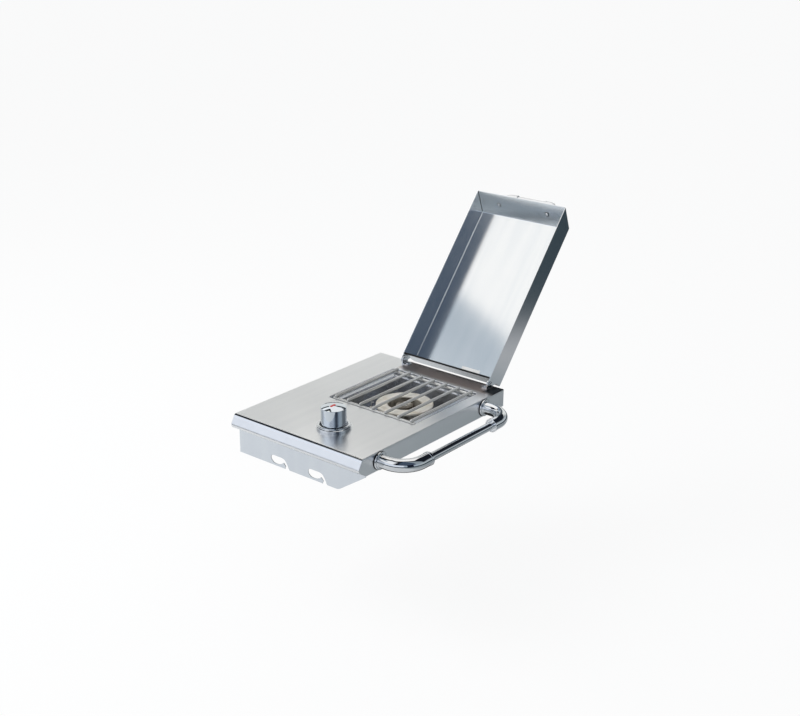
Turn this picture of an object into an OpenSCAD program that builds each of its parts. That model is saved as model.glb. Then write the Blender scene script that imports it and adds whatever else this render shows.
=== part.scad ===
// Outdoor gas side burner: a shelf with a burner pan, grate, knob, hinged lid and towel bar.
// Lengths are millimetres. X runs out from the grill, Y to the rear, Z up.
// The origin is the middle of the mounting holes in the left skirt.

/* [Top panel] */
// Width from the grill side to the outer side
panel_w = 324; // [300:1:360]
// Depth of the strip behind the opening
rear_strip = 52; // [48:1:70]
// Thickness of the panel sheet
sheet = 1.2; // [0.8:0.1:2]
// Height of the side and rear skirts
skirt_h = 36.5; // [36.5:0.5:46]
// How far the front nose leans out
nose_out = 12.5; // [4:0.5:16]
// Drop of the nose to its lower bend
nose_drop = 23; // [16:0.5:28]
// Radius of the lower nose bend
nose_r = 7; // [1:0.5:8]

/* [Opening] */
// Left edge of the opening
open_x = 82.8; // [60:0.1:90]
// Width of the opening
open_w = 213.7; // [200:0.1:220]
// Front edge of the opening
open_y = 177; // [160:1:190]
// Depth of the opening
open_d = 205; // [200:1:215]
// Corner radius of the opening
open_r = 4; // [1:0.5:10]

/* [Front plate] */
// Distance of the front plate behind the front bend
plate_y = 10; // [6:0.5:14]
// Thickness of the front plate
plate_t = 1.2; // [0.8:0.1:2]
// Depth of the lower edge below the top
plate_drop = 84; // [70:1:110]
// Width of the straight lower edge
plate_flat = 256.5; // [240:0.5:280]
// Height of the sloped lower corner's upper end below the top
plate_corner = 39.5; // [38:0.5:60]
// Radius at the start of the sloped corner
plate_r = 20; // [5:1:30]
// Depth of the welding flange along the top
plate_flange = 14; // [8:1:20]
// Left end of the first hook slot
slot_x = 85.3; // [60:0.1:100]
// Spacing of the two hook slots
slot_pitch = 96; // [60:1:110]
// Width of a hook slot
slot_w = 48; // [30:1:60]
// Height of a hook slot
slot_h = 20.2; // [14:0.1:26]

/* [Burner pan] */
// Thickness of the pan sheet
pan_t = 1; // [0.6:0.1:1.6]
// Width of the flange under the panel
pan_flange = 12; // [6:1:20]
// Depth of the ledge below the panel's top
ledge_z = 6; // [5:0.5:9]
// Width of the ledge
ledge_w = 19; // [16:1:22]
// Depth of the pan floor below the panel's top
pan_z = 60; // [58:1:70]
// Corner radius of the inner pan
pan_r = 6; // [4:1:12]

/* [Grate] */
// Number of long rods
rod_n = 7; // [5:1:9]
// Diameter of the rods
rod_dia = 6; // [4:0.5:8]
// Spacing of the long rods
rod_pitch = 31.8; // [24:0.1:32]
// Gap between the long rods' ends and the opening's edge
rod_gap = 4.5; // [3:0.5:8]
// From a long rod's end to the cross rod under it
cross_in = 4.5; // [4:0.5:9]
// Gap between the cross rods' ends and the opening's edge
cross_gap = 4.35; // [4:0.05:8]
// Place of the grate right of the opening's centre
grate_shift = 1.5; // [-2:0.1:2]
// Overlap of the welded rods
weld = 0.3; // [0.1:0.1:0.6]
// Gap between the cross rods and the ledge
seat_gap = 0.3; // [0.1:0.1:0.5]

/* [Burner] */
// Burner centre behind the front bend
burner_y = 283; // [270:1:290]
// Depth of the cap's top below the panel
cap_z = 18; // [16:1:22]
// Thickness of the cap ring
cap_t = 3; // [2:0.5:5]
// Outer diameter of the cap ring
cap_dia = 115; // [100:1:120]
// Inner diameter of the cap ring
cap_bore = 68; // [60:1:74]
// Drop of the cap's outer rim
cap_lip = 1.5; // [1:0.5:3]
// Height of the cast burner ring
ring_h = 26; // [24:1:28]
// Thickness of the cast walls
cast_t = 3; // [2:0.5:4]
// Clearance between the cap and the ring that it rests on
cap_seat = 0.05; // [0.02:0.01:0.2]
// Outer diameter of the cast ring
ring_dia = 108; // [96:1:112]
// Inner diameter of the cast ring
ring_bore = 66; // [58:1:70]
// Number of flame ports
port_n = 36; // [20:1:48]
// Width of a flame port
port_w = 3.5; // [2:0.5:5]
// Height of a flame port
port_h = 4; // [2:0.5:5]
// Thickness of the web inside the ring
web_t = 4.5; // [3:0.5:7]
// Diameter of the holes in the web
web_hole = 13; // [8:1:14]
// Diameter of the hub
hub_dia = 34; // [26:1:36]
// Height of the foot under the hub
foot_h = 6; // [3:0.5:8]
// Outer diameter of the mixing tube
tube_dia = 20; // [18:1:24]
// Bore of the mixing tube
tube_bore = 18; // [14:1:19]
// Length of the mixing tube from the burner's centre
tube_len = 153; // [140:1:156]
// Diameter of the burner screw
screw_dia = 6; // [5:0.5:8]

/* [Valve and knob] */
// Knob centre from the left side
knob_x = 190; // [170:1:200]
// Knob centre behind the front bend
knob_y = 73; // [60:1:90]
// Diameter of the knob
knob_dia = 48.5; // [38:0.5:50]
// Height of the knob's top above the panel
knob_top = 45; // [30:1:45]
// Height of the knob's lower edge above the panel
knob_gap = 6.5; // [6:0.5:10]
// Bevel of the knob's top rim
knob_bevel = 1.5; // [0.5:0.5:3]
// Rise of the knob's domed top from its rim to its middle
knob_dome = 4; // [1:0.5:4]
// Width of the coloured pointer on the knob
pointer_w = 6; // [2:0.5:8]
// Length of the pointer
pointer_len = 14; // [10:1:18]
// From the knob's middle to the pointer's front end
pointer_reach = 9; // [6:1:14]
// Wall of the knob
knob_wall = 2.5; // [2:0.5:4]
// Outer diameter of the bezel
bezel_dia = 66; // [58:1:70]
// Height of the bezel
bezel_h = 8; // [6:0.5:10]
// Opening of the bezel
bezel_bore = 54; // [48:0.5:57]
// Diameter of the valve stem
stem_dia = 8; // [6:0.5:9]
// Diameter of the spring plunger
plunger_dia = 13; // [11:0.5:14]
// Push travel of the knob
push = 3; // [1:0.5:3]
// Running clearance of turning and sliding parts
run_gap = 0.075; // [0.02:0.005:0.1]
// Thickness of the valve flange
flange_t = 3; // [2:0.5:4]
// Spacing of the valve screws
valve_pitch = 48; // [46:1:50]
// Diameter of the valve screws
valve_screw = 4; // [3:0.5:5]
// Width of the valve body
valve_w = 30; // [26:1:34]
// Depth of the valve body front to rear
valve_d = 26; // [22:1:30]
// Depth of the gas axis below the panel
gas_z = 37; // [36:1:40]
// Depth of the inlet axis below the panel
inlet_z = 57; // [54:1:64]
// Outer diameter of the inlet thread
inlet_dia = 15.88; // [12:0.01:18]
// Length of the inlet thread
inlet_len = 14; // [10:1:20]

/* [Igniter] */
// Electrode place left of the burner's centre
spark_x = 52.65; // [50:0.05:56]
// Electrode place in front of the burner's centre
spark_y = 40; // [38:1:44]
// Diameter of the ceramic
ceramic_dia = 6.4; // [5:0.2:8]
// Diameter of the electrode wire
wire_dia = 1.6; // [1:0.2:2.4]
// Diameter of the ignition lead
lead_dia = 3; // [2:0.5:4]
// Depth of the lead below the pan
lead_drop = 12; // [10:1:16]
// Bend radius of the lead under the electrode
lead_r = 8; // [7:1:10]
// Straight run of the lead through its clip
lead_run = 52; // [45:1:60]

/* [Lid] */
// Left side of the lid
lid_x = 77.5; // [70:0.5:80]
// Width of the lid
lid_w = 224; // [218:1:230]
// Depth of the lid at its rim
lid_len = 394.4; // [384:0.1:404]
// Height of the lid
lid_h = 47; // [46.5:0.5:50]
// Setback of the sloped front wall
lid_front = 27; // [10:1:40]
// Setback of the rear wall
lid_rear = 1; // [0.5:0.5:6]
// Thickness of the lid sheet
lid_t = 1.2; // [0.8:0.1:1.4]
// Gap between the closed lid and the panel
lid_gap = 0.5; // [0.3:0.1:1]
// Opening angle of the lid
lid_open = 129.7; // [90:0.1:135]
// Hinge axis ahead of the panel's rear edge
pivot_in = 17; // [15:0.5:20]
// Height of the hinge axis above the panel
pivot_z = 9.5; // [9:0.5:12]
// Distance from the closed rim's rear end to the hinge axis
pivot_back = 9; // [8.8:0.1:12]
// Radius of the lid's ears
ear_r = 8; // [6:0.5:8.5]
// Diameter of the hinge pins
pin_dia = 6; // [4:0.5:7]
// Diameter of the pin heads
pin_head = 12; // [9:0.5:13]
// Thickness of the hinge brackets
bracket_t = 2; // [1.5:0.1:3]
// Thickness of the hinge washers
washer_t = 0.8; // [0.4:0.1:1.2]
// Diameter of the bracket's round foot
foot_dia = 17; // [14:1:18]
// Clearance between the closed lid's rear wall and the brackets
bracket_back = 0.8; // [0.6:0.1:1.5]

/* [Lid handle] */
// Spacing of the handle posts
grip_pitch = 122.8; // [100:0.1:150]
// Stand-off of the grip
grip_out = 35; // [28:1:45]
// Diameter of the elbows
grip_dia = 10; // [8:0.5:12]
// Bend radius of the elbows
grip_r = 14; // [10:0.5:18]
// Straight end of the elbows
grip_end = 12; // [8:0.5:16]
// Diameter of the bar
grip_bar = 7; // [5:0.5:8]
// Diameter of the handle screws
grip_screw = 4; // [3:0.5:5]
// Width of the blank label inside the lid
label_w = 46; // [30:1:60]
// Height of the label
label_d = 7.4; // [5:0.2:12]
// Place of the label right of the lid's middle
label_x = 30.5; // [-30:0.5:40]
// Gap between the label and the lid's rear rim
label_in = 13.6; // [12:0.2:18]

/* [Towel bar] */
// Front flange behind the front bend
bar_y = 47; // [40:1:60]
// Spacing of the two flanges
bar_pitch = 320; // [260:1:340]
// Stand-off of the bar's axis
bar_out = 62.9; // [58:0.1:80]
// Bend radius of the elbows
elbow_r = 44.5; // [36:0.5:48]
// Diameter of the elbows
elbow_dia = 25.4; // [22:0.1:28]
// Straight end of the elbows
elbow_end = 20; // [16:1:30]
// Diameter of the bar
bar_dia = 16; // [12:0.5:18]
// Depth of the bar in each elbow
bar_depth = 15; // [8:1:18]
// Diameter of the flanges
bar_flange = 34.5; // [28:0.5:35]
// Thickness of the gaskets
gasket_t = 1.5; // [1:0.1:3]
// Diameter of the bolts that hold the elbows
bar_bolt = 6; // [5:0.5:8]
// Depth of the bolts in the elbows
bolt_in = 12; // [9:1:14]
// Diameter of the washers under the bolt heads
bolt_washer = 14; // [12:0.5:18]

/* [Mounting] */
// Spacing of the mounting holes front to rear
mount_y = 300; // [200:1:340]
// Spacing of the mounting holes up and down
mount_z = 18; // [16:0.5:20]
// Diameter of the mounting holes
mount_dia = 6.6; // [5.5:0.1:8.4]

/* [Hidden] */
$fn = 64;
eps = 0.05;
panel_d = open_y + open_d + rear_strip;
rod_len = open_d - 2 * rod_gap;
cross_pitch = rod_len - 2 * cross_in;
cross_len = open_w - 2 * cross_gap;
plate_x0 = sheet + 0.1;
plate_x1 = panel_w - sheet - 0.1;
open_cx = open_x + open_w / 2;
open_cy = open_y + open_d / 2;
skirt_mid = -skirt_h / 2;
under = -sheet;
pan_floor = -pan_z;
cap_under = -cap_z - cap_t;
ring_top = cap_under - cap_seat;
ring_floor = cap_under - ring_h;
hub_top = cap_under - 1;
foot_z = ring_floor - foot_h;
strap_t = 2;
mouth_y = burner_y - tube_len;
flange_z = under - flange_t;
block_z = -gas_z - 10;
neck_top = 1.8;
neck_r = plunger_dia / 2 + run_gap + 2.4;
plunger_top = 5;
hub_z = plunger_top + 0.3;
stem_top = knob_top - 10.2;
pointer_floor = knob_top - 1.2;
stem_low = -33;
pivot_y = panel_d - pivot_in;
rim_y1 = pivot_y - pivot_back;
rim_y0 = rim_y1 - lid_len;
lid_top = lid_gap + lid_h;
front_tilt = atan2(lid_h, lid_front);
lid_cx = lid_x + lid_w / 2;
bracket_gap = 0.2;
bracket_x = lid_x + lid_t + bracket_gap + washer_t;
spark_px = open_cx - spark_x;
spark_py = burner_y - spark_y;
lead_z = pan_floor - pan_t - lead_drop;
module_x = knob_x - valve_w / 2;

// Moves a piece from the panel's front left corner to the mounting holes
module place() {
    translate([0, -panel_d / 2, skirt_h / 2]) children();
}

function unit(v) = v / norm(v);
function left_of(v) = [-v[1], v[0]];

// Points of a polygon moved inward by t
function inset(pts, t) = [
    for (i = [0 : len(pts) - 1])
        let (
            a = pts[(i + len(pts) - 1) % len(pts)],
            b = pts[i],
            c = pts[(i + 1) % len(pts)],
            n = left_of(unit(b - a)),
            m = left_of(unit(c - b))
        )
        b + (n + m) * t / (1 + n * m)
];

// Arc that rounds the corner b between a and c
function rounded(a, b, c, r, n) =
    let (
        u = unit(a - b),
        v = unit(c - b),
        half = acos(u * v) / 2,
        mid = b + unit(u + v) * r / sin(half),
        p = b + u * r / tan(half),
        q = b + v * r / tan(half),
        a0 = atan2(p[1] - mid[1], p[0] - mid[0]),
        turn = atan2(q[1] - mid[1], q[0] - mid[0]) - a0,
        sweep = turn > 180 ? turn - 360 : (turn < -180 ? turn + 360 : turn)
    )
    [for (i = [0 : n]) mid + r * [cos(a0 + sweep * i / n), sin(a0 + sweep * i / n)]];

// Extrudes a (y, z) outline from x0 to x1
module along_x(x0, x1) {
    translate([x0, 0, 0]) rotate([90, 0, 90]) linear_extrude(height = x1 - x0) children();
}

// Extrudes an (x, z) outline from y0 to y1
module along_y(y0, y1) {
    translate([0, y1, 0]) rotate([90, 0, 0]) linear_extrude(height = y1 - y0) children();
}

module box(x0, y0, z0, x1, y1, z1) {
    translate([x0, y0, z0]) cube([x1 - x0, y1 - y0, z1 - z0]);
}

// Box with round upright corners
module round_box(x0, y0, x1, y1, r, z0, z1) {
    box(x0 + r, y0, z0, x1 - r, y1, z1);
    box(x0, y0 + r, z0, x1, y1 - r, z1);
    for (x = [x0 + r, x1 - r])
        for (y = [y0 + r, y1 - r])
            translate([x, y, z0]) cylinder(r = r, h = z1 - z0);
}

module disc(x, y, z0, z1, d) {
    translate([x, y, z0]) cylinder(d = d, h = z1 - z0);
}

module rod_x(x0, x1, y, z, d) {
    translate([x0, y, z]) rotate([0, 90, 0]) cylinder(d = d, h = x1 - x0);
}

module rod_y(y0, y1, x, z, d) {
    translate([x, y0, z]) rotate([-90, 0, 0]) cylinder(d = d, h = y1 - y0);
}

module hex(x, y, z0, z1, across) {
    translate([x, y, z0]) cylinder(d = across / cos(30), h = z1 - z0, $fn = 6);
}

nose_low = [-nose_out, -nose_drop];
nose_end = [plate_y, -skirt_h];
shell_pts = concat(
    [[0, 0]],
    rounded([0, 0], nose_low, nose_end, nose_r, 6),
    [nose_end, [panel_d, -skirt_h], [panel_d, 0]]
);

module top_panel() {
    color([0.78, 0.78, 0.77]) place() difference() {
        along_x(0, panel_w) polygon(shell_pts);
        along_x(sheet, panel_w - sheet) polygon(inset(shell_pts, sheet));
        box(sheet, plate_y, -skirt_h - 1, panel_w - sheet, panel_d - sheet, under);
        round_box(open_x, open_y, open_x + open_w, open_y + open_d, open_r, under - 1, 1);
        disc(knob_x, knob_y, under - 1, 1, 2 * neck_r + 1);
        for (s = [-1, 1])
            disc(knob_x + s * valve_pitch / 2, knob_y, under - 1, 1, valve_screw + 0.4);
        for (x = [foot_x(0), foot_x(1)])
            disc(x, foot_y, under - 1, 1, 5.1);
        for (y = [bar_y, bar_y + bar_pitch])
            rod_x(panel_w - sheet - 1, panel_w + 1, y, skirt_mid, bar_bolt + 0.4);
        for (y = [panel_d / 2 - mount_y / 2, panel_d / 2 + mount_y / 2])
            for (z = [skirt_mid - mount_z / 2, skirt_mid + mount_z / 2])
                rod_x(-1, sheet + 1, y, z, mount_dia);
    }
}

// Hook slot outline from its left end at the plate's lower edge
function slot_pts(x0) = [
    for (p = [[36.5, -1], [36.2, 2], [38, 4.6], [35.7, 8.4], [32.2, 10.8], [27.7, 7.5],
            [21.7, 5], [14.7, 4.2], [8.7, 4.8], [4.2, 7], [1, 10.5], [0, 14], [0.9, 17.5],
            [3.5, 19.4], [6.7, 20.2], [27.3, 20.2], [32.7, 19.2], [36.7, 17], [39.7, 13.5],
            [42.7, 9], [45.2, 4], [48, -1]])
        [x0 + p[0] * slot_w / 48, -plate_drop + p[1] * (p[1] < 0 ? 1 : slot_h / 20.2)]
];

module front_plate() {
    corner = [plate_flat, -plate_drop];
    far = [plate_x1, -plate_corner];
    color([0.76, 0.77, 0.78]) place() difference() {
        union() {
            along_y(plate_y, plate_y + plate_t) polygon(concat(
                [[plate_x0, -plate_drop]],
                rounded([plate_x0, -plate_drop], corner, far, plate_r, 8),
                [far, [plate_x1, under], [plate_x0, under]]
            ));
            box(plate_x0, plate_y, under - plate_t, plate_x1, plate_y + plate_flange, under);
        }
        along_y(plate_y - 1, plate_y + plate_t + 1) polygon(slot_pts(slot_x));
        along_y(plate_y - 1, plate_y + plate_t + 1) polygon(slot_pts(slot_x + slot_pitch));
    }
}

module burner_pan() {
    x0 = open_x;
    x1 = open_x + open_w;
    y0 = open_y;
    y1 = open_y + open_d;
    w = ledge_w;
    color([0.62, 0.65, 0.68]) place() difference() {
        union() {
            round_box(x0 - pan_flange, y0 - pan_flange, x1 + pan_flange, y1 + pan_flange,
                open_r + pan_t, under - pan_t, under);
            round_box(x0 - pan_t, y0 - pan_t, x1 + pan_t, y1 + pan_t, open_r + pan_t,
                -ledge_z - pan_t, under);
            round_box(x0 + w - pan_t, y0 + w - pan_t, x1 - w + pan_t, y1 - w + pan_t,
                pan_r + pan_t, pan_floor - pan_t, -ledge_z - pan_t / 2);
        }
        round_box(x0, y0, x1, y1, open_r, -ledge_z, 1);
        round_box(x0 + w, y0 + w, x1 - w, y1 - w, pan_r, pan_floor, 0);
        rod_y(y0 + w - 3, y0 + w + 3, open_cx, -gas_z, tube_dia + 4);
        disc(spark_px, spark_py, pan_floor - 3, pan_floor + 1, ceramic_dia + 0.6);
        disc(open_cx, burner_y, pan_floor - 3, pan_floor + 1, screw_dia + 0.4);
    }
}

grate_cx = open_cx + grate_shift;
rod_z = -ledge_z + seat_gap + 1.5 * rod_dia - weld;
cross_z = -ledge_z + seat_gap + rod_dia / 2;

module grate_rods() {
    a = open_cy - rod_len / 2 + rod_dia / 2;
    b = open_cy + rod_len / 2 - rod_dia / 2;
    color([0.7, 0.71, 0.71]) place()
        for (i = [0 : rod_n - 1])
            translate([grate_cx + (i - (rod_n - 1) / 2) * rod_pitch, 0, rod_z]) {
                rod_y(a, b, 0, 0, rod_dia);
                translate([0, a, 0]) sphere(d = rod_dia);
                translate([0, b, 0]) sphere(d = rod_dia);
            }
}

// Cross rods welded under the long rods
module grate_crossbars() {
    color([0.7, 0.71, 0.71]) place()
        for (s = [-1, 1])
            rod_x(grate_cx - cross_len / 2, grate_cx + cross_len / 2,
                open_cy + s * cross_pitch / 2, cross_z, rod_dia);
}

module burner_body() {
    r_out = ring_dia / 2;
    r_in = ring_bore / 2;
    hole_r = (r_in + hub_dia / 2) / 2;
    color([0.55, 0.54, 0.52]) place() difference() {
        union() {
            disc(open_cx, burner_y, ring_floor, ring_top, ring_dia);
            disc(open_cx, burner_y, foot_z, ring_floor + 1, 18);
            rod_y(mouth_y, burner_y - r_out + cast_t, open_cx, -gas_z, tube_dia);
        }
        difference() {
            disc(open_cx, burner_y, ring_floor + cast_t, cap_under + 1, ring_dia - 2 * cast_t);
            disc(open_cx, burner_y, ring_floor, cap_under + 2, ring_bore + 2 * cast_t);
        }
        difference() {
            disc(open_cx, burner_y, ring_floor + web_t, cap_under + 1, ring_bore);
            disc(open_cx, burner_y, ring_floor, hub_top, hub_dia);
        }
        for (a = [45 : 90 : 315])
            disc(open_cx + hole_r * cos(a), burner_y + hole_r * sin(a), ring_floor - 1,
                ring_floor + web_t + 1, min(web_hole, 2 * (r_in - hole_r) - 1));
        for (i = [0 : port_n - 1])
            translate([open_cx, burner_y, 0]) rotate([0, 0, (i + 0.5) * 360 / port_n])
                box(r_out - cast_t - 1, -port_w / 2, ring_top - port_h,
                    r_out + 1, port_w / 2, cap_under + 1);
        rod_y(mouth_y - 1, burner_y - r_out + cast_t + 1, open_cx, -gas_z, tube_bore);
        for (s = [-1, 1])
            translate([open_cx + s * tube_dia / 2, mouth_y + 10, -gas_z])
                cube([8, 10, 9], center = true);
        disc(open_cx, burner_y, foot_z - 1, hub_top + 1, screw_dia + 0.2);
        disc(open_cx, burner_y, hub_top - 5, hub_top + 1, 13);
    }
}

module burner_cap() {
    r0 = cap_bore / 2;
    r1 = cap_dia / 2;
    color([0.86, 0.84, 0.78]) place() translate([open_cx, burner_y, 0])
        rotate_extrude() polygon([
            [r0, cap_under], [r1 - 2, cap_under], [r1 - 2, cap_under - cap_lip],
            [r1, cap_under - cap_lip], [r1, -cap_z - 1.2], [r1 - 2, -cap_z - 0.4],
            [r0 + 3, -cap_z], [r0, -cap_z - 0.8]
        ]);
}

module burner_screw() {
    color([0.7, 0.7, 0.7]) place() difference() {
        union() {
            disc(open_cx, burner_y, hub_top - 5, hub_top - 1.5, 11);
            disc(open_cx, burner_y, pan_floor - pan_t - 7, hub_top - 4, screw_dia);
        }
        hex(open_cx, burner_y, hub_top - 3.5, hub_top, 5);
    }
}

module burner_nut() {
    color([0.7, 0.7, 0.7]) place() difference() {
        hex(open_cx, burner_y, pan_floor - pan_t - 5, pan_floor - pan_t, screw_dia + 4);
        disc(open_cx, burner_y, pan_floor - pan_t - 6, pan_floor, screw_dia);
    }
}

// Strap that carries the burner's foot above the pan floor
module burner_strap() {
    color([0.66, 0.67, 0.68]) place() difference() {
        union() {
            box(open_cx - 22, burner_y - 9, foot_z - strap_t, open_cx + 22, burner_y + 9, foot_z);
            for (s = [-1, 1]) {
                box(open_cx + s * 21 - 1, burner_y - 9, pan_floor,
                    open_cx + s * 21 + 1, burner_y + 9, foot_z);
                box(open_cx + s * 26 - 6, burner_y - 9, pan_floor,
                    open_cx + s * 26 + 6, burner_y + 9, pan_floor + strap_t);
            }
        }
        disc(open_cx, burner_y, foot_z - strap_t - 1, foot_z + 1, screw_dia + 0.2);
    }
}

module air_shutter() {
    color([0.8, 0.72, 0.5]) place() difference() {
        rod_y(mouth_y, mouth_y + 18, open_cx, -gas_z, tube_dia + 3);
        rod_y(mouth_y - 1, mouth_y + 19, open_cx, -gas_z, tube_dia + 2 * run_gap);
        for (s = [-1, 1])
            translate([open_cx + s * tube_dia / 2, mouth_y + 10, -gas_z + 4])
                cube([8, 8, 7], center = true);
    }
}

jet_y = knob_y + valve_d / 2 + 26;

module gas_jet() {
    color([0.8, 0.68, 0.35]) place() difference() {
        union() {
            translate([knob_x, jet_y, -gas_z]) rotate([-90, 0, 0])
                cylinder(d = 11.5, h = 6, $fn = 6);
            rod_y(jet_y - 8, jet_y + 1, knob_x, -gas_z, 7);
            rod_y(jet_y + 5, mouth_y + 4, knob_x, -gas_z, 8);
        }
        rod_y(jet_y - 9, mouth_y + 2, knob_x, -gas_z, 4);
        rod_y(mouth_y, mouth_y + 5, knob_x, -gas_z, 1.2);
    }
}

module valve_body() {
    w = valve_w / 2;
    d = valve_d / 2;
    color([0.72, 0.66, 0.45]) place() difference() {
        union() {
            box(knob_x - w, knob_y - d, block_z, knob_x + w, knob_y + d, flange_z);
            box(knob_x - valve_pitch / 2 - 7, knob_y - d, flange_z,
                knob_x + valve_pitch / 2 + 7, knob_y + d, under);
            disc(knob_x, knob_y, under - 1, neck_top, 2 * neck_r);
            rod_y(knob_y + d - 1, jet_y, knob_x, -gas_z, 16);
            box(knob_x - 10, knob_y - 9, -inlet_z - 10, knob_x + 10, knob_y + 9, block_z);
        }
        disc(knob_x, knob_y, -14, neck_top + 1, plunger_dia + 2 * run_gap);
        disc(knob_x, knob_y, stem_low - push - 0.5, -13, stem_dia + 2 * run_gap);
        rod_y(jet_y - 10, jet_y + 1, knob_x, -gas_z, 7);
        rod_x(knob_x - 11, knob_x, knob_y, -inlet_z, 9);
        for (s = [-1, 1])
            disc(knob_x + s * valve_pitch / 2, knob_y, flange_z - 1, under + 1, valve_screw);
    }
}

module valve_screws() {
    color([0.75, 0.75, 0.76]) place()
        for (s = [-1, 1])
            translate([knob_x + s * valve_pitch / 2, knob_y, 0]) difference() {
                union() {
                    disc(0, 0, 0, 2.2, 7);
                    disc(0, 0, flange_z - 5, 1, valve_screw);
                }
                box(-3, -0.5, 1.2, 3, 0.5, 3);
                box(-0.5, -3, 1.2, 0.5, 3, 3);
            }
}

module valve_nuts() {
    color([0.75, 0.75, 0.76]) place()
        for (s = [-1, 1]) difference() {
            hex(knob_x + s * valve_pitch / 2, knob_y, flange_z - 3.2, flange_z, valve_screw + 3);
            disc(knob_x + s * valve_pitch / 2, knob_y, flange_z - 4, flange_z + 1, valve_screw);
        }
}

module inlet_fitting() {
    x1 = knob_x - 10;
    color([0.8, 0.7, 0.4]) place() difference() {
        union() {
            translate([x1 - 8, knob_y, -inlet_z]) rotate([0, 90, 0])
                cylinder(d = inlet_dia + 5, h = 8, $fn = 6);
            rod_x(x1 - 8 - inlet_len, x1 - 7, knob_y, -inlet_z, inlet_dia);
            rod_x(x1 - 1, x1 + 7, knob_y, -inlet_z, 9);
        }
        rod_x(x1 - 9 - inlet_len, x1 + 8, knob_y, -inlet_z, 6);
    }
}

module valve_plunger() {
    color([0.7, 0.7, 0.7]) place() difference() {
        disc(knob_x, knob_y, -10, plunger_top, plunger_dia);
        disc(knob_x, knob_y, -11, plunger_top + 1, stem_dia + 2 * run_gap);
    }
}

module valve_stem() {
    color([0.78, 0.7, 0.45]) place() difference() {
        disc(knob_x, knob_y, stem_low, stem_top, stem_dia);
        box(knob_x - stem_dia, knob_y + stem_dia / 2 - 1.2, hub_z + 4,
            knob_x + stem_dia, knob_y + stem_dia, stem_top + 1);
    }
}

module knob() {
    r = knob_dia / 2;
    roof = knob_top - 6;
    top_r = r - knob_bevel;
    ball_r = (top_r * top_r + knob_dome * knob_dome) / (2 * knob_dome);
    color([0.8, 0.82, 0.85]) place() difference() {
        union() {
            translate([knob_x, knob_y, 0]) rotate_extrude() polygon(concat(
                [[0, roof], [r - knob_wall, roof], [r - knob_wall, knob_gap], [r, knob_gap]],
                [[r, knob_top - knob_dome - knob_bevel]],
                [for (i = [0 : 8]) let (x = top_r * (1 - i / 8))
                    [x, knob_top - ball_r + sqrt(ball_r * ball_r - x * x)]]
            ));
            disc(knob_x, knob_y, hub_z, roof + 1, 14);
        }
        difference() {
            disc(knob_x, knob_y, hub_z - 1, stem_top + 0.3, stem_dia + 2 * eps);
            box(knob_x - stem_dia, knob_y + stem_dia / 2 - 1.2 + eps, hub_z + 4 + eps,
                knob_x + stem_dia, knob_y + stem_dia, stem_top + 1);
        }
        box(knob_x - pointer_w / 2, knob_y - pointer_reach, pointer_floor,
            knob_x + pointer_w / 2, knob_y - pointer_reach + pointer_len, knob_top + 1);
    }
}

// Plain coloured bar let into the knob's top
module knob_pointer() {
    color([0.8, 0.15, 0.13]) place()
        box(knob_x - pointer_w / 2, knob_y - pointer_reach, pointer_floor,
            knob_x + pointer_w / 2, knob_y - pointer_reach + pointer_len, knob_top + 0.1);
}

module knob_bezel() {
    r = bezel_dia / 2;
    b = bezel_bore / 2;
    color([0.75, 0.76, 0.78]) place() translate([knob_x, knob_y, 0])
        rotate_extrude() polygon([
            [r - 2.4, 0], [r, 0], [r, bezel_h - 3], [r - 1, bezel_h - 2.4], [r - 2, bezel_h - 2.4],
            [r - 2, bezel_h - 0.6], [r - 2.8, bezel_h], [b + 0.6, bezel_h], [b, bezel_h - 0.6],
            [b, bezel_h - 2], [r - 3.4, bezel_h - 3.6], [r - 2.4, bezel_h - 4.6]
        ]);
}

module igniter_module() {
    color([0.15, 0.15, 0.16]) place() {
        union() {
            box(module_x - 17, knob_y - 9, -42, module_x, knob_y + 9, -14);
            rod_y(knob_y + 8, knob_y + 12, module_x - 8.5, -30, 8);
        }
    }
}

// Route of the ignition lead from the module to the electrode
lead_a = [module_x - 8.5, knob_y + 12, -30];
lead_b = lead_a + [0, 14, 0];
lead_c = [spark_px, spark_py - lead_r - lead_run, lead_z];
lead_d = lead_c + [0, -16, 0];
lead_e = [spark_px, spark_py - lead_r, lead_z];

function bend(t) = t * t * (3 - 2 * t);
function lead_mid(t) = [
    lead_b[0] + (lead_d[0] - lead_b[0]) * bend(t),
    lead_b[1] + (lead_d[1] - lead_b[1]) * t,
    lead_b[2] + (lead_d[2] - lead_b[2]) * bend(t)
];

lead_pts = concat(
    [lead_a, lead_a + [0, 5, 0]],
    [for (i = [0 : 14]) lead_mid(i / 14)],
    [lead_c, lead_c + [0, 12, 0], lead_c + [0, 24, 0], lead_c + [0, 38, 0]],
    [for (i = [0 : 6])
        lead_e + lead_r * [0, sin(i * 15), 1 - cos(i * 15)]]
);

function lead_dir(i) = unit(
    i == 0 ? lead_pts[1] - lead_pts[0] :
    i == len(lead_pts) - 1 ? [0, 0, 1] :
    unit(lead_pts[i + 1] - lead_pts[i]) + unit(lead_pts[i] - lead_pts[i - 1])
);

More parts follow.
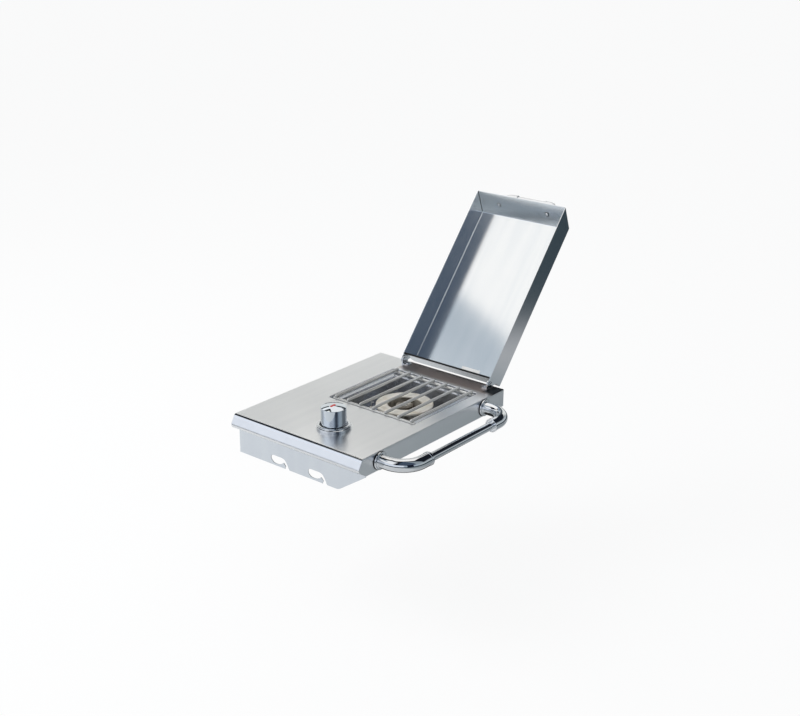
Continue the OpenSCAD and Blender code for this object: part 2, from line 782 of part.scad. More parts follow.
module ignition_lead() {
    n = 8;
    last = len(lead_pts) - 1;
    rings = [
        for (i = [0 : last])
            let (
                d = lead_dir(i),
                u = unit(cross(d, [1, 0, 0])),
                v = cross(d, u)
            )
            for (k = [0 : n - 1])
                lead_pts[i] + lead_dia / 2 * (u * cos(k * 360 / n) + v * sin(k * 360 / n))
    ];
    sides = [
        for (i = [0 : last - 1])
            for (k = [0 : n - 1])
                for (f = [
                    [i * n + k, (i + 1) * n + k, (i + 1) * n + (k + 1) % n],
                    [i * n + k, (i + 1) * n + (k + 1) % n, i * n + (k + 1) % n]
                ]) f
    ];
    color([0.1, 0.1, 0.1]) place()
        polyhedron(points = rings, faces = concat(sides,
            [[for (k = [0 : n - 1]) k]],
            [[for (k = [0 : n - 1]) last * n + n - 1 - k]]), convexity = 6);
}

spark_low = lead_z + lead_r;

module electrode_ceramic() {
    color([0.93, 0.92, 0.88]) place() difference() {
        union() {
            disc(spark_px, spark_py, pan_floor - pan_t - 2, -cap_z - 10, ceramic_dia);
            disc(spark_px, spark_py, pan_floor + 8, pan_floor + 12, ceramic_dia + 2.6);
        }
        disc(spark_px, spark_py, pan_floor - pan_t - 3, -cap_z - 9, wire_dia);
    }
}

module electrode_wire() {
    turn = atan2(spark_y, spark_x);
    color([0.75, 0.75, 0.76]) place() {
        union() {
            disc(spark_px, spark_py, spark_low, -cap_z, wire_dia);
            translate([spark_px, spark_py, -cap_z]) rotate([0, 0, turn]) rotate([0, 90, 0])
                cylinder(d = wire_dia, h = 5);
            translate([spark_px, spark_py, -cap_z]) sphere(d = wire_dia);
        }
    }
}

module electrode_holder() {
    color([0.7, 0.7, 0.71]) place() difference() {
        union() {
            disc(spark_px, spark_py, pan_floor, pan_floor + 1.5, 18);
            disc(spark_px, spark_py, pan_floor, pan_floor + 8, 10);
        }
        disc(spark_px, spark_py, pan_floor - 1, pan_floor + 9, ceramic_dia);
    }
}

module lead_clip() {
    y = lead_c[1] + 20;
    color([0.7, 0.7, 0.71]) place() difference() {
        union() {
            box(spark_px - 4, y, lead_z, spark_px + 4, y + 1.2, pan_floor - pan_t);
            rod_y(y, y + 6, spark_px, lead_z, lead_dia + 3);
            box(spark_px - 4, y, pan_floor - pan_t - 1.2, spark_px + 4, y + 10, pan_floor - pan_t);
        }
        rod_y(y - 1, y + 7, spark_px, lead_z, lead_dia + 0.1);
    }
}

foot_y = rim_y1 + bracket_back + foot_dia / 2;
bracket_r = pivot_back - bracket_back;
function foot_x(side) = side == 0
    ? bracket_x + bracket_t / 2 + foot_dia / 2 - 0.5
    : 2 * lid_cx - (bracket_x + bracket_t / 2 + foot_dia / 2 - 0.5);

// Hinge bracket at x0 with its round foot towards the pan
module bracket(x0, side) {
    reach = (wall_dist - stop_gap) / cos(stop_angle - 20);
    back = [pivot_y + reach * cos(20), pivot_z + reach * sin(20)];
    fx = foot_x(side);
    difference() {
        union() {
            along_x(x0, x0 + bracket_t) polygon([
                [pivot_y - bracket_r, 0], [pivot_y - bracket_r, pivot_z],
                [pivot_y, pivot_z] + bracket_r * [cos(stop_angle), sin(stop_angle)],
                back, [back[0], 0]
            ]);
            rod_x(x0, x0 + bracket_t, pivot_y, pivot_z, 2 * bracket_r);
            box(min(x0, fx), foot_y - foot_dia / 2 + 1, 0,
                max(x0 + bracket_t, fx), foot_y + foot_dia / 2 - 1, bracket_t);
            disc(fx, foot_y, 0, bracket_t, foot_dia);
        }
        rod_x(x0 - 1, x0 + bracket_t + 1, pivot_y, pivot_z, pin_dia);
        disc(fx, foot_y, -1, bracket_t + 1, 5);
        box(x0 - 5, pivot_y - 20, -10, x0 + bracket_t + 5, pivot_y + 20, 0);
    }
}

// Direction and distance of the open lid's rear wall, which stops on the brackets
stop_angle = 180 + atan2(lid_rear, lid_h) - lid_open;
stop_gap = 0.3;
wall_dist = (pivot_back * lid_h + (pivot_z - lid_gap) * lid_rear) / norm([lid_h, lid_rear]);

module hinge_bracket_left() {
    color([0.72, 0.73, 0.74]) place() bracket(bracket_x, 0);
}

module hinge_bracket_right() {
    color([0.72, 0.73, 0.74]) place() bracket(2 * lid_cx - bracket_x - bracket_t, 1);
}

module hinge_pins() {
    x0 = lid_x - 0.3 - 2.2;
    x1 = bracket_x + bracket_t;
    color([0.82, 0.81, 0.78]) place()
        for (s = [0, 1])
            translate([s == 0 ? 0 : 2 * lid_cx, 0, 0]) mirror([s, 0, 0]) {
                rod_x(x0 + 0.4, x0 + 2.2, pivot_y, pivot_z, pin_head);
                rod_x(x0, x0 + 1, pivot_y, pivot_z, pin_head - 3);
                rod_x(x0 + 1, x1, pivot_y, pivot_z, pin_dia);
                rod_x(x1, x1 + 1.6, pivot_y, pivot_z, pin_dia + 3);
            }
}

module hinge_washers() {
    x0 = lid_x + lid_t + bracket_gap;
    color([0.2, 0.2, 0.2]) place()
        for (s = [0, 1])
            translate([s == 0 ? 0 : 2 * lid_cx, 0, 0]) mirror([s, 0, 0]) difference() {
                rod_x(x0, x0 + washer_t, pivot_y, pivot_z, pin_dia + 7);
                rod_x(x0 - 1, x0 + washer_t + 1, pivot_y, pivot_z, pin_dia);
            }
}

module bracket_rivets() {
    color([0.8, 0.8, 0.8]) place()
        for (s = [0, 1]) {
            disc(foot_x(s), foot_y, under - 2, bracket_t + 0.5, 5);
            disc(foot_x(s), foot_y, bracket_t, bracket_t + 1.2, 8);
            disc(foot_x(s), foot_y, under - 2, under, 8);
        }
}

lid_pts = [
    [rim_y0, lid_gap], [rim_y1, lid_gap],
    [rim_y1 - lid_rear, lid_top], [rim_y0 + lid_front, lid_top]
];

// Inside of the lid, run out through its open rim
rim_in = inset(lid_pts, lid_t);
hollow_pts = [
    rim_in[0] - (rim_in[3] - rim_in[0]) * 3 * lid_t / lid_h,
    rim_in[1] - (rim_in[2] - rim_in[1]) * 3 * lid_t / lid_h,
    rim_in[2], rim_in[3]
];

// Turns the lid's pieces from closed to open about the hinge axis
module opened() {
    translate([0, pivot_y, pivot_z]) rotate([-lid_open, 0, 0])
        translate([0, -pivot_y, -pivot_z]) children();
}

// Puts a piece on the outside of the lid's sloped front wall
module on_front(x) {
    translate([x, rim_y0 + lid_front / 2, lid_gap + lid_h / 2])
        rotate([front_tilt, 0, 0]) children();
}

// Outline of the ear that carries the hinge pin, run well into the side wall
ear_in = rim_y1 - lid_rear - 3;
ear_pts = concat(
    [[ear_in, pivot_z - ear_r]],
    [for (i = [0 : 20])
        [pivot_y, pivot_z] + ear_r * [cos(i * 7 - 90), sin(i * 7 - 90)]],
    [[ear_in, pivot_z + ear_r * sin(50) + (pivot_y + ear_r * cos(50) - ear_in) * tan(40)]]
);

module lid() {
    color([0.74, 0.76, 0.78]) place() opened() difference() {
        union() {
            difference() {
                along_x(lid_x, lid_x + lid_w) polygon(lid_pts);
                along_x(lid_x + lid_t, lid_x + lid_w - lid_t) polygon(hollow_pts);
            }
            along_x(lid_x, lid_x + lid_t) polygon(ear_pts);
            along_x(lid_x + lid_w - lid_t, lid_x + lid_w) polygon(ear_pts);
        }
        rod_x(lid_x - 1, lid_x + lid_t + 1, pivot_y, pivot_z, pin_dia + 2 * run_gap);
        rod_x(lid_x + lid_w - lid_t - 1, lid_x + lid_w + 1, pivot_y, pivot_z,
            pin_dia + 2 * run_gap);
        for (s = [-1, 1])
            on_front(lid_cx + s * grip_pitch / 2) disc(0, 0, -lid_t - 2, 2, grip_screw + 0.2);
    }
}

module lid_elbow() {
    difference() {
        union() {
            disc(0, 0, 0, 2, grip_dia + 5);
            disc(0, 0, 0, grip_out - grip_r, grip_dia);
            translate([grip_r, 0, grip_out - grip_r]) rotate([90, 0, 0])
                rotate([0, 0, 90]) rotate_extrude(angle = 90)
                    translate([grip_r, 0]) circle(d = grip_dia);
            rod_x(grip_r, grip_r + grip_end, 0, grip_out, grip_dia);
            rod_x(grip_r + grip_end - 2, grip_r + grip_end, 0, grip_out, grip_dia + 0.8);
        }
        rod_x(grip_r + 4, grip_r + grip_end + 1, 0, grip_out, grip_bar + 0.1);
        disc(0, 0, -1, 10, grip_screw);
    }
}

module lid_handle_elbows() {
    color([0.85, 0.87, 0.9]) place() opened() {
        on_front(lid_cx - grip_pitch / 2) lid_elbow();
        on_front(lid_cx + grip_pitch / 2) rotate([0, 0, 180]) lid_elbow();
    }
}

module lid_handle_bar() {
    color([0.85, 0.87, 0.9]) place() opened() on_front(lid_cx)
        rod_x(-grip_pitch / 2 + grip_r + 4, grip_pitch / 2 - grip_r - 4, 0, grip_out, grip_bar);
}

module lid_handle_screws() {
    color([0.82, 0.82, 0.83]) place() opened()
        for (s = [-1, 1])
            on_front(lid_cx + s * grip_pitch / 2) {
                disc(0, 0, -lid_t - 1, -lid_t, 2.6 * grip_screw);
                translate([0, 0, -lid_t - 1]) rotate([180, 0, 0])
                    cylinder(d1 = 2.6 * grip_screw, d2 = grip_screw, h = 2);
                disc(0, 0, -lid_t - 0.5, 9.5, grip_screw);
            }
}

// Blank label on the inside of the lid
module lid_label() {
    color([0.95, 0.95, 0.95]) place() opened()
        box(lid_cx + label_x - label_w / 2, rim_y1 - label_in - label_d, lid_top - lid_t - 0.2,
            lid_cx + label_x + label_w / 2, rim_y1 - label_in, lid_top - lid_t);
}

// Elbow of the towel bar: flange at x = 0, bar end towards +Y
module bar_elbow() {
    run = bar_out - gasket_t;
    difference() {
        union() {
            rod_x(0, 3, 0, 0, bar_flange);
            rod_x(0, run - elbow_r, 0, 0, elbow_dia);
            translate([run - elbow_r, elbow_r, 0]) rotate([0, 0, -90])
                rotate_extrude(angle = 90) translate([elbow_r, 0]) circle(d = elbow_dia);
            rod_y(elbow_r, elbow_r + elbow_end, run, 0, elbow_dia);
            rod_y(elbow_r + elbow_end - 5, elbow_r + elbow_end, run, 0, elbow_dia + 1.4);
        }
        rod_y(elbow_r + elbow_end - bar_depth, elbow_r + elbow_end + 1, run, 0, bar_dia + 0.1);
        rod_y(elbow_r + elbow_end - 1.5, elbow_r + elbow_end + 1, run, 0, elbow_dia - 3);
        rod_x(-1, bolt_in + 2, 0, 0, bar_bolt);
    }
}

module bar_elbow_front() {
    color([0.85, 0.87, 0.9]) place() translate([panel_w + gasket_t, bar_y, skirt_mid])
        bar_elbow();
}

module bar_elbow_rear() {
    color([0.85, 0.87, 0.9]) place()
        translate([panel_w + gasket_t, bar_y + bar_pitch, skirt_mid])
            mirror([0, 1, 0]) bar_elbow();
}

module towel_bar() {
    color([0.85, 0.87, 0.9]) place() difference() {
        rod_y(bar_y + elbow_r + elbow_end - bar_depth,
            bar_y + bar_pitch - elbow_r - elbow_end + bar_depth,
            panel_w + bar_out, skirt_mid, bar_dia);
        rod_y(bar_y, bar_y + bar_pitch, panel_w + bar_out, skirt_mid, bar_dia - 3);
    }
}

module bar_gaskets() {
    color([0.08, 0.08, 0.08]) place()
        for (y = [bar_y, bar_y + bar_pitch]) difference() {
            rod_x(panel_w, panel_w + gasket_t, y, skirt_mid, bar_flange + 1.5);
            rod_x(panel_w - 1, panel_w + gasket_t + 1, y, skirt_mid, bar_bolt);
        }
}

module bar_bolts() {
    color([0.75, 0.75, 0.76]) place()
        for (y = [bar_y, bar_y + bar_pitch]) {
            translate([panel_w - sheet - 1.5 - 4, y, skirt_mid]) rotate([0, 90, 0])
                cylinder(d = bar_bolt + 5, h = 4, $fn = 6);
            rod_x(panel_w - sheet - 1.5, panel_w - sheet, y, skirt_mid, bolt_washer);
            rod_x(panel_w - sheet - 2, panel_w + gasket_t + bolt_in, y, skirt_mid, bar_bolt);
        }
}

top_panel();
front_plate();
burner_pan();
grate_rods();
grate_crossbars();
burner_body();
burner_cap();
burner_screw();
burner_nut();
burner_strap();
air_shutter();
gas_jet();
valve_body();
valve_screws();
valve_nuts();
inlet_fitting();
valve_plunger();
valve_stem();
knob();
knob_pointer();
knob_bezel();
igniter_module();
ignition_lead();
electrode_ceramic();
electrode_wire();
electrode_holder();
lead_clip();
hinge_bracket_left();
hinge_bracket_right();
hinge_pins();
hinge_washers();
bracket_rivets();
lid();
lid_handle_elbows();
lid_handle_bar();
lid_handle_screws();
lid_label();
bar_elbow_front();
bar_elbow_rear();
towel_bar();
bar_gaskets();
bar_bolts();
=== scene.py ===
import math
import bpy
import numpy as np
from mathutils import Matrix, Vector
from mathutils.geometry import tessellate_polygon


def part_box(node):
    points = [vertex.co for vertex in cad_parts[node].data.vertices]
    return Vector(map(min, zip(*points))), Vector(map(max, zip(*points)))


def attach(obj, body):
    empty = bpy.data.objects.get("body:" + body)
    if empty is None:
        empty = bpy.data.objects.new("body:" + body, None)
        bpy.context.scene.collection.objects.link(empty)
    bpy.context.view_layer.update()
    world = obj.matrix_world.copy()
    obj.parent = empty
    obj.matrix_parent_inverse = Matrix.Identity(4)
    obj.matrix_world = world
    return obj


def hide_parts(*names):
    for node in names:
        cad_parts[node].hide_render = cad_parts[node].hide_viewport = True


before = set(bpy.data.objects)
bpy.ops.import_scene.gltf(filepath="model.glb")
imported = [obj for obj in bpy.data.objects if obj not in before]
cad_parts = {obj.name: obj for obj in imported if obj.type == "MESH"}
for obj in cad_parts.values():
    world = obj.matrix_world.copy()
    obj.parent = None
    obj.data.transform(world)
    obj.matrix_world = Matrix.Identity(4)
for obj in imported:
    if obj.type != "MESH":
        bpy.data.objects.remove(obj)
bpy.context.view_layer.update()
print("frame loaded:", len(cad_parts), "nodes")


class Look(dict):
    # A dictionary of measures or looks, read as look.key
    __getattr__ = dict.__getitem__


# Everything below is in millimetres from the panel's front left corner, as the part is built:
# X out from the grill, Y to the rear, Z up from the panel's top. Points turn to metres at the end.
panelLow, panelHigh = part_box("top_panel")
mm = 0.001
panel = Look(depth=434.0, thick=1.2, noseOut=12.5, noseDrop=23.0, noseRound=7.0, plateBehind=10.0,
             bend=3.2, sideBend=1.2, corner=0.9, lip=1.1)
corner = np.array([panelLow.x, panelHigh.y - panel.depth * mm, panelHigh.z])
panelWide = (panelHigh.x - panelLow.x) / mm
skirtLow = (panelLow.z - panelHigh.z) / mm
opening = Look(x0=82.8, x1=296.5, y0=177.0, y1=382.0, corner=4.0)


def unit(v):
    v = np.asarray(v, float)
    return v / np.linalg.norm(v, axis=-1, keepdims=True)


def columns(*ways):
    # points from their coordinates, where single numbers are the same for all of them
    return np.stack(np.broadcast_arrays(*ways), -1)


def join(*parts):
    return np.concatenate(parts)


def linked(name, data):
    made = bpy.data.objects.new(name, data)
    bpy.context.scene.collection.objects.link(made)
    return made


class Shell:
    # Collects rows of points and the faces between them, then makes one mesh of them
    def __init__(self):
        self.points, self.faces, self.count = [], [], 0

    def add(self, points):
        points = np.asarray(points, float)
        index = self.count + np.arange(points.size // 3).reshape(points.shape[:-1])
        self.points.append(points.reshape(-1, 3))
        self.count += points.size // 3
        return index

    def weave(self, index, closeRow=True, closeColumn=False, leave=()):
        # four-sided faces between neighbours of a grid; leave names columns that stay open
        grid = np.concatenate([index, index[:, :1]], 1) if closeRow else index
        grid = np.concatenate([grid, grid[:1]], 0) if closeColumn else grid
        quads = np.stack([grid[:-1, :-1], grid[:-1, 1:], grid[1:, 1:], grid[1:, :-1]], -1)
        kept = np.ones(quads.shape[1], bool)
        kept[list(leave)] = False
        self.faces += quads[:, kept].reshape(-1, 4).tolist()

    def fill(self, loops, facing):
        # flat triangles inside the first loop and outside the others, turned to face one way
        facing = np.asarray(facing, float)
        axes = np.delete(np.arange(3), np.argmax(np.abs(facing)))
        spots = np.concatenate(self.points)
        flat = [np.insert(spots[loop][:, axes], 2, 0.0, axis=1).tolist() for loop in loops]
        numbers = np.concatenate(loops)
        found = tessellate_polygon([[Vector(p) for p in loop] for loop in flat])
        tris = numbers[np.array(found)]
        side = np.cross(spots[tris[:, 1]] - spots[tris[:, 0]], spots[tris[:, 2]] - spots[tris[:, 0]])
        away = side @ facing < 0
        tris[away] = tris[away][:, ::-1]
        self.faces += tris.tolist()

    def tube(self, points, hollow=False):
        # rings joined one after the other; a hollow one closes on its first ring, others get end faces
        index = self.add(points)
        self.weave(index, closeColumn=hollow)
        if not hollow:
            self.faces += [index[0][::-1].tolist(), index[-1].tolist()]

    def piece(self, name, thick=0.0, sharp=35, turn=None):
        # thick gives the sheet its wall, behind its faces; sharp is the angle kept as an edge
        points = np.concatenate(self.points)
        points = turn(points) if turn else points
        mesh = bpy.data.meshes.new(name)
        mesh.from_pydata((points * mm + corner).tolist(), [], self.faces)
        made = linked(name, mesh)
        if thick:
            wall = made.modifiers.new("wall", "SOLIDIFY")
            wall.thickness, wall.offset, wall.use_even_offset = thick * mm, -1, True
            kept(made)
        made.data.shade_smooth()
        made.data.set_sharp_from_angle(angle=math.radians(sharp))
        flatter = made.modifiers.new("flats", "WEIGHTED_NORMAL")
        flatter.keep_sharp = True
        return made


def kept(made):
    # applies a piece's modifiers to its mesh
    found = made.evaluated_get(bpy.context.evaluated_depsgraph_get())
    mesh = bpy.data.meshes.new_from_object(found)
    made.modifiers.clear()
    made.data = mesh


def place(made, body, nodes, slot, look=None):
    # look names the finish where it isn't the slot's own
    made.data.materials.clear()
    made.data.materials.append(finish[look or slot])
    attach(made, body)
    if nodes:
        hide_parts(*nodes)
    return made


def arc(start, end, steps):
    # angles in radians from start to end in degrees, both included
    return np.radians(np.linspace(start, end, steps + 1))


def rings(x0, x1, y0, y1, radius, z, steps=5):
    # rounded rectangles, one row each: quarter circles about four corners, counter-clockwise
    x0, x1, y0, y1, radius, z = np.broadcast_arrays(
        *[np.asarray(v, float)[..., None, None] for v in (x0, x1, y0, y1, radius, z)])
    angle = np.stack([arc(a, a + 90, steps) for a in (-90, 0, 90, 180)])
    side = np.array([[1], [1], [-1], [-1]])
    rear = np.array([[-1], [1], [1], [-1]])
    x = np.where(side > 0, x1 - radius, x0 + radius) + radius * np.cos(angle)
    y = np.where(rear > 0, y1 - radius, y0 + radius) + radius * np.sin(angle)
    points = columns(x, y, z)
    return points.reshape(points.shape[0], -1, 3)


def wheel(first, second, steps):
    # directions all round, from one way towards a second that is square to it
    turn = np.linspace(0, 2 * math.pi, steps, endpoint=False)
    return np.cos(turn)[:, None] * first[..., None, :] + np.sin(turn)[:, None] * second[..., None, :]


def circle(centre, radius, steps=40, ways=(0, 1)):
    # points round a centre, in the plane of two axes
    first, second = np.eye(3)[list(ways)]
    return np.asarray(centre, float) + radius * wheel(first, second, steps)


def softened(corners, radius, steps=5):
    # rounds each inner corner of an open outline with an arc of the given radius; an arc takes at
    # most a share of its shorter side, and a corner that is nearly straight stays as it is
    straight, share = 1.55, 0.48
    corners = np.asarray(corners, float)
    radius = np.broadcast_to(radius, len(corners))
    made = [corners[:1]]
    for before, here, after, r in zip(corners, corners[1:], corners[2:], radius[1:]):
        u, v = unit(before - here), unit(after - here)
        half = math.acos(np.clip(u @ v, -1, 1)) / 2
        if r <= 0 or half > straight:
            made.append(here[None])
            continue
        shorter = min(np.linalg.norm(before - here), np.linalg.norm(after - here))
        r = min(r, share * math.tan(half) * shorter)
        middle = here + unit(u + v) * r / math.sin(half)
        reach = r / math.tan(half)
        a, b = here + u * reach - middle, here + v * reach - middle
        sweep = math.acos(np.clip(a @ b / r ** 2, -1, 1))
        t = np.linspace(0, 1, steps + 1)[:, None]
        bow = (np.sin((1 - t) * sweep) * a + np.sin(t * sweep) * b) / math.sin(sweep)
        made.append(middle + bow)
    made.append(corners[-1:])
    return np.concatenate(made)


def spun(shell, outline, centre, axis=(0, 0, 1), steps=96, hollow=False):
    # turns an outline of (radius, height) about an axis: centre + height * axis + radius * outward
    aside = [0.31, 0.92, 0.23]
    axis = unit(axis)
    first = unit(np.cross(axis, aside))
    second = np.cross(axis, first)
    outline = np.asarray(outline, float)
    shell.tube(np.asarray(centre, float) + outline[:, 1, None, None] * axis
               + outline[:, 0, None, None] * wheel(first, second, steps), hollow)


def swept(shell, outline, start, along, turnTo, straight, bendRound, steps=48):
    # carries (distance, radius) along a straight line, a quarter bend and a second straight line
    along, turnTo = unit(along), unit(turnTo)
    cross = np.cross(along, turnTo)
    s, r = np.asarray(outline, float).T
    quarter = bendRound * math.pi / 2
    bent = np.clip((s - straight) / bendRound, 0, math.pi / 2)
    before, after = np.minimum(s, straight), np.maximum(s - straight - quarter, 0)
    middle = (np.asarray(start, float) + (before + bendRound * np.sin(bent))[:, None] * along
              + (after + bendRound * (1 - np.cos(bent)))[:, None] * turnTo)
    across = -np.sin(bent)[:, None] * along + np.cos(bent)[:, None] * turnTo
    shell.tube(middle[:, None] + r[:, None, None] * wheel(across, cross, steps))


def alongPath(shell, path, radius, steps=20):
    # a round tube on a path: each ring stands square to the path's direction there
    aside = [1.0, 0.02, 0.01]
    path = np.asarray(path, float)
    ahead = unit(np.gradient(path, axis=0))
    first = unit(np.cross(ahead, aside))
    second = np.cross(ahead, first)
    shell.tube(path[:, None] + radius * wheel(first, second, steps))


# Materials
def linear(colour):
    # display values from 0 to 1 as the linear ones that a shader takes
    c = np.asarray(colour, float)
    return (*np.where(c <= 0.04045, c / 12.92, ((c + 0.055) / 1.055) ** 2.4), 1.0)


class Wire:
    # One output of a node; sums and products of wires add Math nodes
    def __init__(self, shader, socket):
        self.shader, self.socket = shader, socket

    def __add__(self, other):
        return self.shader.sum("ADD", self, other)

    def __sub__(self, other):
        return self.shader.sum("SUBTRACT", self, other)

    def __rsub__(self, other):
        return self.shader.sum("SUBTRACT", other, self)

    def __mul__(self, other):
        return self.shader.sum("MULTIPLY", self, other)

    __radd__, __rmul__ = __add__, __mul__


class Shader:
    def __init__(self, owner):
        owner.use_nodes = True
        self.tree = owner.node_tree
        self.tree.nodes.clear()

    def node(self, kind, settings=None, sockets=None):
        made = self.tree.nodes.new(kind)
        for key, value in (settings or {}).items():
            setattr(made, key, value)
        for key, value in (sockets or {}).items():
            if isinstance(value, Wire):
                self.tree.links.new(value.socket, made.inputs[key])
            else:
                made.inputs[key].default_value = value
        return made

    def wire(self, made, output=0):
        return Wire(self, made.outputs[output])

    def sum(self, operation, *values):
        return self.wire(self.node("ShaderNodeMath", {"operation": operation}, dict(enumerate(values))))

    def mix(self, factor, first, second):
        return self.wire(self.node("ShaderNodeMix", {"data_type": "RGBA"},
                                   {0: factor, 6: first, 7: second}), 2)

    def rise(self, value, low, high, start=0.0, end=1.0):
        # start below low, end above high, and a smooth step between them
        return self.wire(self.node("ShaderNodeMapRange", {"interpolation_type": "SMOOTHSTEP"}, {
            "Value": value, "From Min": low, "From Max": high, "To Min": start, "To Max": end}))

    def fall(self, value, low, high):
        return self.rise(value, low, high, 1.0, 0.0)

    def spot(self, kind="Object"):
        # the piece's own coordinates in metres
        return self.wire(self.node("ShaderNodeTexCoord"), kind)

    def split(self, vector):
        made = self.node("ShaderNodeSeparateXYZ", None, {0: vector})
        return [self.wire(made, k) for k in range(3)]

    def noise(self, scale, detail, rough):
        # scale is one number, or one for each axis
        stretched = self.wire(self.node("ShaderNodeMapping", None, {
            "Vector": self.spot(), "Scale": tuple(np.broadcast_to(scale, 3).tolist())}))
        return self.wire(self.node("ShaderNodeTexNoise", None, {
            "Vector": stretched, "Scale": 1.0, "Detail": detail, "Roughness": rough}), "Fac")

    def bump(self, height, strength, depth):
        return self.wire(self.node("ShaderNodeBump", None, {
            "Height": height, "Strength": strength, "Distance": depth}))

    def glow(self, colour, strength=1.0):
        return self.node("ShaderNodeEmission", None, {"Color": (*colour, 1), "Strength": strength})

    def output(self, made, kind="ShaderNodeOutputMaterial"):
        self.node(kind, None, {0: self.wire(made)})

    def surface(self, **sockets):
        self.output(self.node("ShaderNodeBsdfPrincipled", None,
                              {key.replace("_", " "): value for key, value in sockets.items()}))


def material(name):
    made = bpy.data.materials.new(name)
    return made, Shader(made)


# Brushed sheet steel: fine scratches along one way, soft clouds and a few dull marks. Painted reflections are
# dark patches painted into the colour where the flat top reflects dark things, as (start in X, start in Y,
# colour), in metres.
steelFinish = {
    "panel_steel": Look(
        name="brushedPanelSteel", colour=(0.945, 0.95, 0.955), tint=(0.93, 0.936, 0.942), rough=0.29,
        vary=0.04, grain=(620, 9, 620), streak=(60, 2.2, 60), depth=0.000012,
        edge=Look(y=-0.2125, z=0.012, soft=0.001, less=0.19), tintSoft=(0.008, 0.014),
        tintHeight=(0.0165, 0.0175),
        # painted reflections on the flat top's rear: a warm grey strip, and a dark patch at the rear right
        tints=((0.081, 0.166, (0.76, 0.72, 0.70)), (0.295, 0.170, (0.17, 0.185, 0.21)))),
    "front_steel": Look(
        name="brushedFrontSteel", colour=(0.88, 0.90, 0.92), tint=(0.86, 0.88, 0.905), rough=0.20,
        vary=0.04, grain=(620, 620, 9), streak=(60, 60, 2.2), depth=0.000012),
    "lid_steel": Look(
        name="brushedLidSteel", colour=(0.93, 0.945, 0.955), tint=(0.905, 0.925, 0.94), rough=0.19,
        vary=0.05, grain=(620, 11, 14), streak=(50, 2.0, 2.6), depth=0.000012),
    "pan_steel": Look(
        name="drawnPanSteel", colour=(0.84, 0.85, 0.87), tint=(0.78, 0.80, 0.83), rough=0.24,
        vary=0.06, grain=(300, 300, 60), streak=(26, 26, 9), depth=0.00003, metal=0.85)}


def brushedSteel(look):
    made, s = material(look.name)
    grain = s.noise(look.grain, 3.0, 0.6)
    streak = s.noise(look.streak, 2.0, 0.5)
    cloud = s.noise(7, 3.0, 0.55)
    colour = s.mix(s.rise(streak * 0.6 + cloud * 0.4, 0.35, 0.65), linear(look.colour), linear(look.tint))
    rough = look.rough + look.vary * (grain - 0.5) + look.vary * 1.4 * (cloud - 0.5)
    if "tints" in look:
        # the front bend is smoother than the flat sheet
        x, y, z = s.split(s.spot())
        edge = look.edge
        atBend = (s.fall(y, edge.y - edge.soft, edge.y)
                  * s.rise(z, edge.z, edge.z + edge.soft))
        rough = rough - edge.less * atBend
        # painted reflection: the flat top reflects something dark at its rear, and each patch paints a part
        # of that reflection into the colour, from its start towards the rear right
        softX, softY = look.tintSoft
        for fromX, fromY, shade in look.tints:
            patch = (s.rise(x, fromX, fromX + softX) * s.rise(y, fromY, fromY + softY)
                     * s.rise(z, *look.tintHeight))
            colour = s.mix(patch, colour, linear(shade))
    s.surface(Base_Color=colour, Metallic=look.get("metal", 1.0), Roughness=rough,
              Normal=s.bump(grain, 0.35, look.depth))
    return made


# Plated and bare metals: one colour, mottled roughness and a light hammered unevenness
metalFinish = {
    "rod_steel": Look(name="platedRodSteel", colour=(0.86, 0.86, 0.85), rough=0.22, vary=0.03, scale=160,
                      depth=0.000002, metal=0.5),
    "bright_chrome": Look(name="brightChrome", colour=(0.93, 0.94, 0.95), rough=0.035, vary=0.03, scale=60,
                          depth=0.00001),
    "knob_chrome": Look(name="satinKnobChrome", colour=(0.91, 0.94, 0.97), rough=0.05, vary=0.03, scale=60,
                        depth=0.00001),
    "zinc_plate": Look(name="zincPlate", colour=(0.88, 0.88, 0.87), rough=0.28, vary=0.12, scale=220,
                       depth=0.00003, metal=0.75),
    "brass": Look(name="turnedBrass", colour=(0.84, 0.70, 0.42), rough=0.28, vary=0.14, scale=200,
                  depth=0.00003),
    "valve_metal": Look(name="dieCastValve", colour=(0.70, 0.67, 0.60), rough=0.42, vary=0.14, scale=260,
                        depth=0.00008)}


def plainMetal(look):
    made, s = material(look.name)
    mottle = s.noise(look.scale, 4.0, 0.6)
    smear = s.noise(look.scale * 0.12, 3.0, 0.5)
    dark = linear(np.array(look.colour) * 0.93)
    colour = s.mix(s.rise(smear, 0.35, 0.7), linear(look.colour), dark)
    rough = look.rough + look.vary * (mottle - 0.5) + look.vary * 0.8 * (smear - 0.5)
    s.surface(Base_Color=colour, Metallic=look.get("metal", 1.0), Roughness=rough,
              Normal=s.bump(mottle, 0.25, look.depth))
    return made


castFinish = {"burner_metal": Look(
    name="sootyCasting", colour=(0.74, 0.72, 0.68), soot=(0.40, 0.37, 0.33), rough=0.55, metal=0.55,
    grit=900, cloud=55, depth=0.0002)}


def castMetal(look):
    # rough casting with brown and sooty clouds from the heat
    made, s = material(look.name)
    grit = s.noise(look.grit, 3.0, 0.65)
    cloud = s.noise(look.cloud, 4.0, 0.6)
    colour = s.mix(s.rise(cloud, 0.38, 0.66), linear(look.colour), linear(look.soot))
    s.surface(Base_Color=colour, Metallic=look.metal, Roughness=look.rough + 0.2 * (grit - 0.5),
              Normal=s.bump(grit + cloud, 0.6, look.depth))
    return made


enamelFinish = {"cap_metal": Look(
    name="paleBurnerCoat", colour=(0.90, 0.885, 0.85), warm=(0.83, 0.79, 0.72), rough=0.34, coat=0.15,
    coatRough=0.2, cloud=38, pits=750, depth=0.0001)}


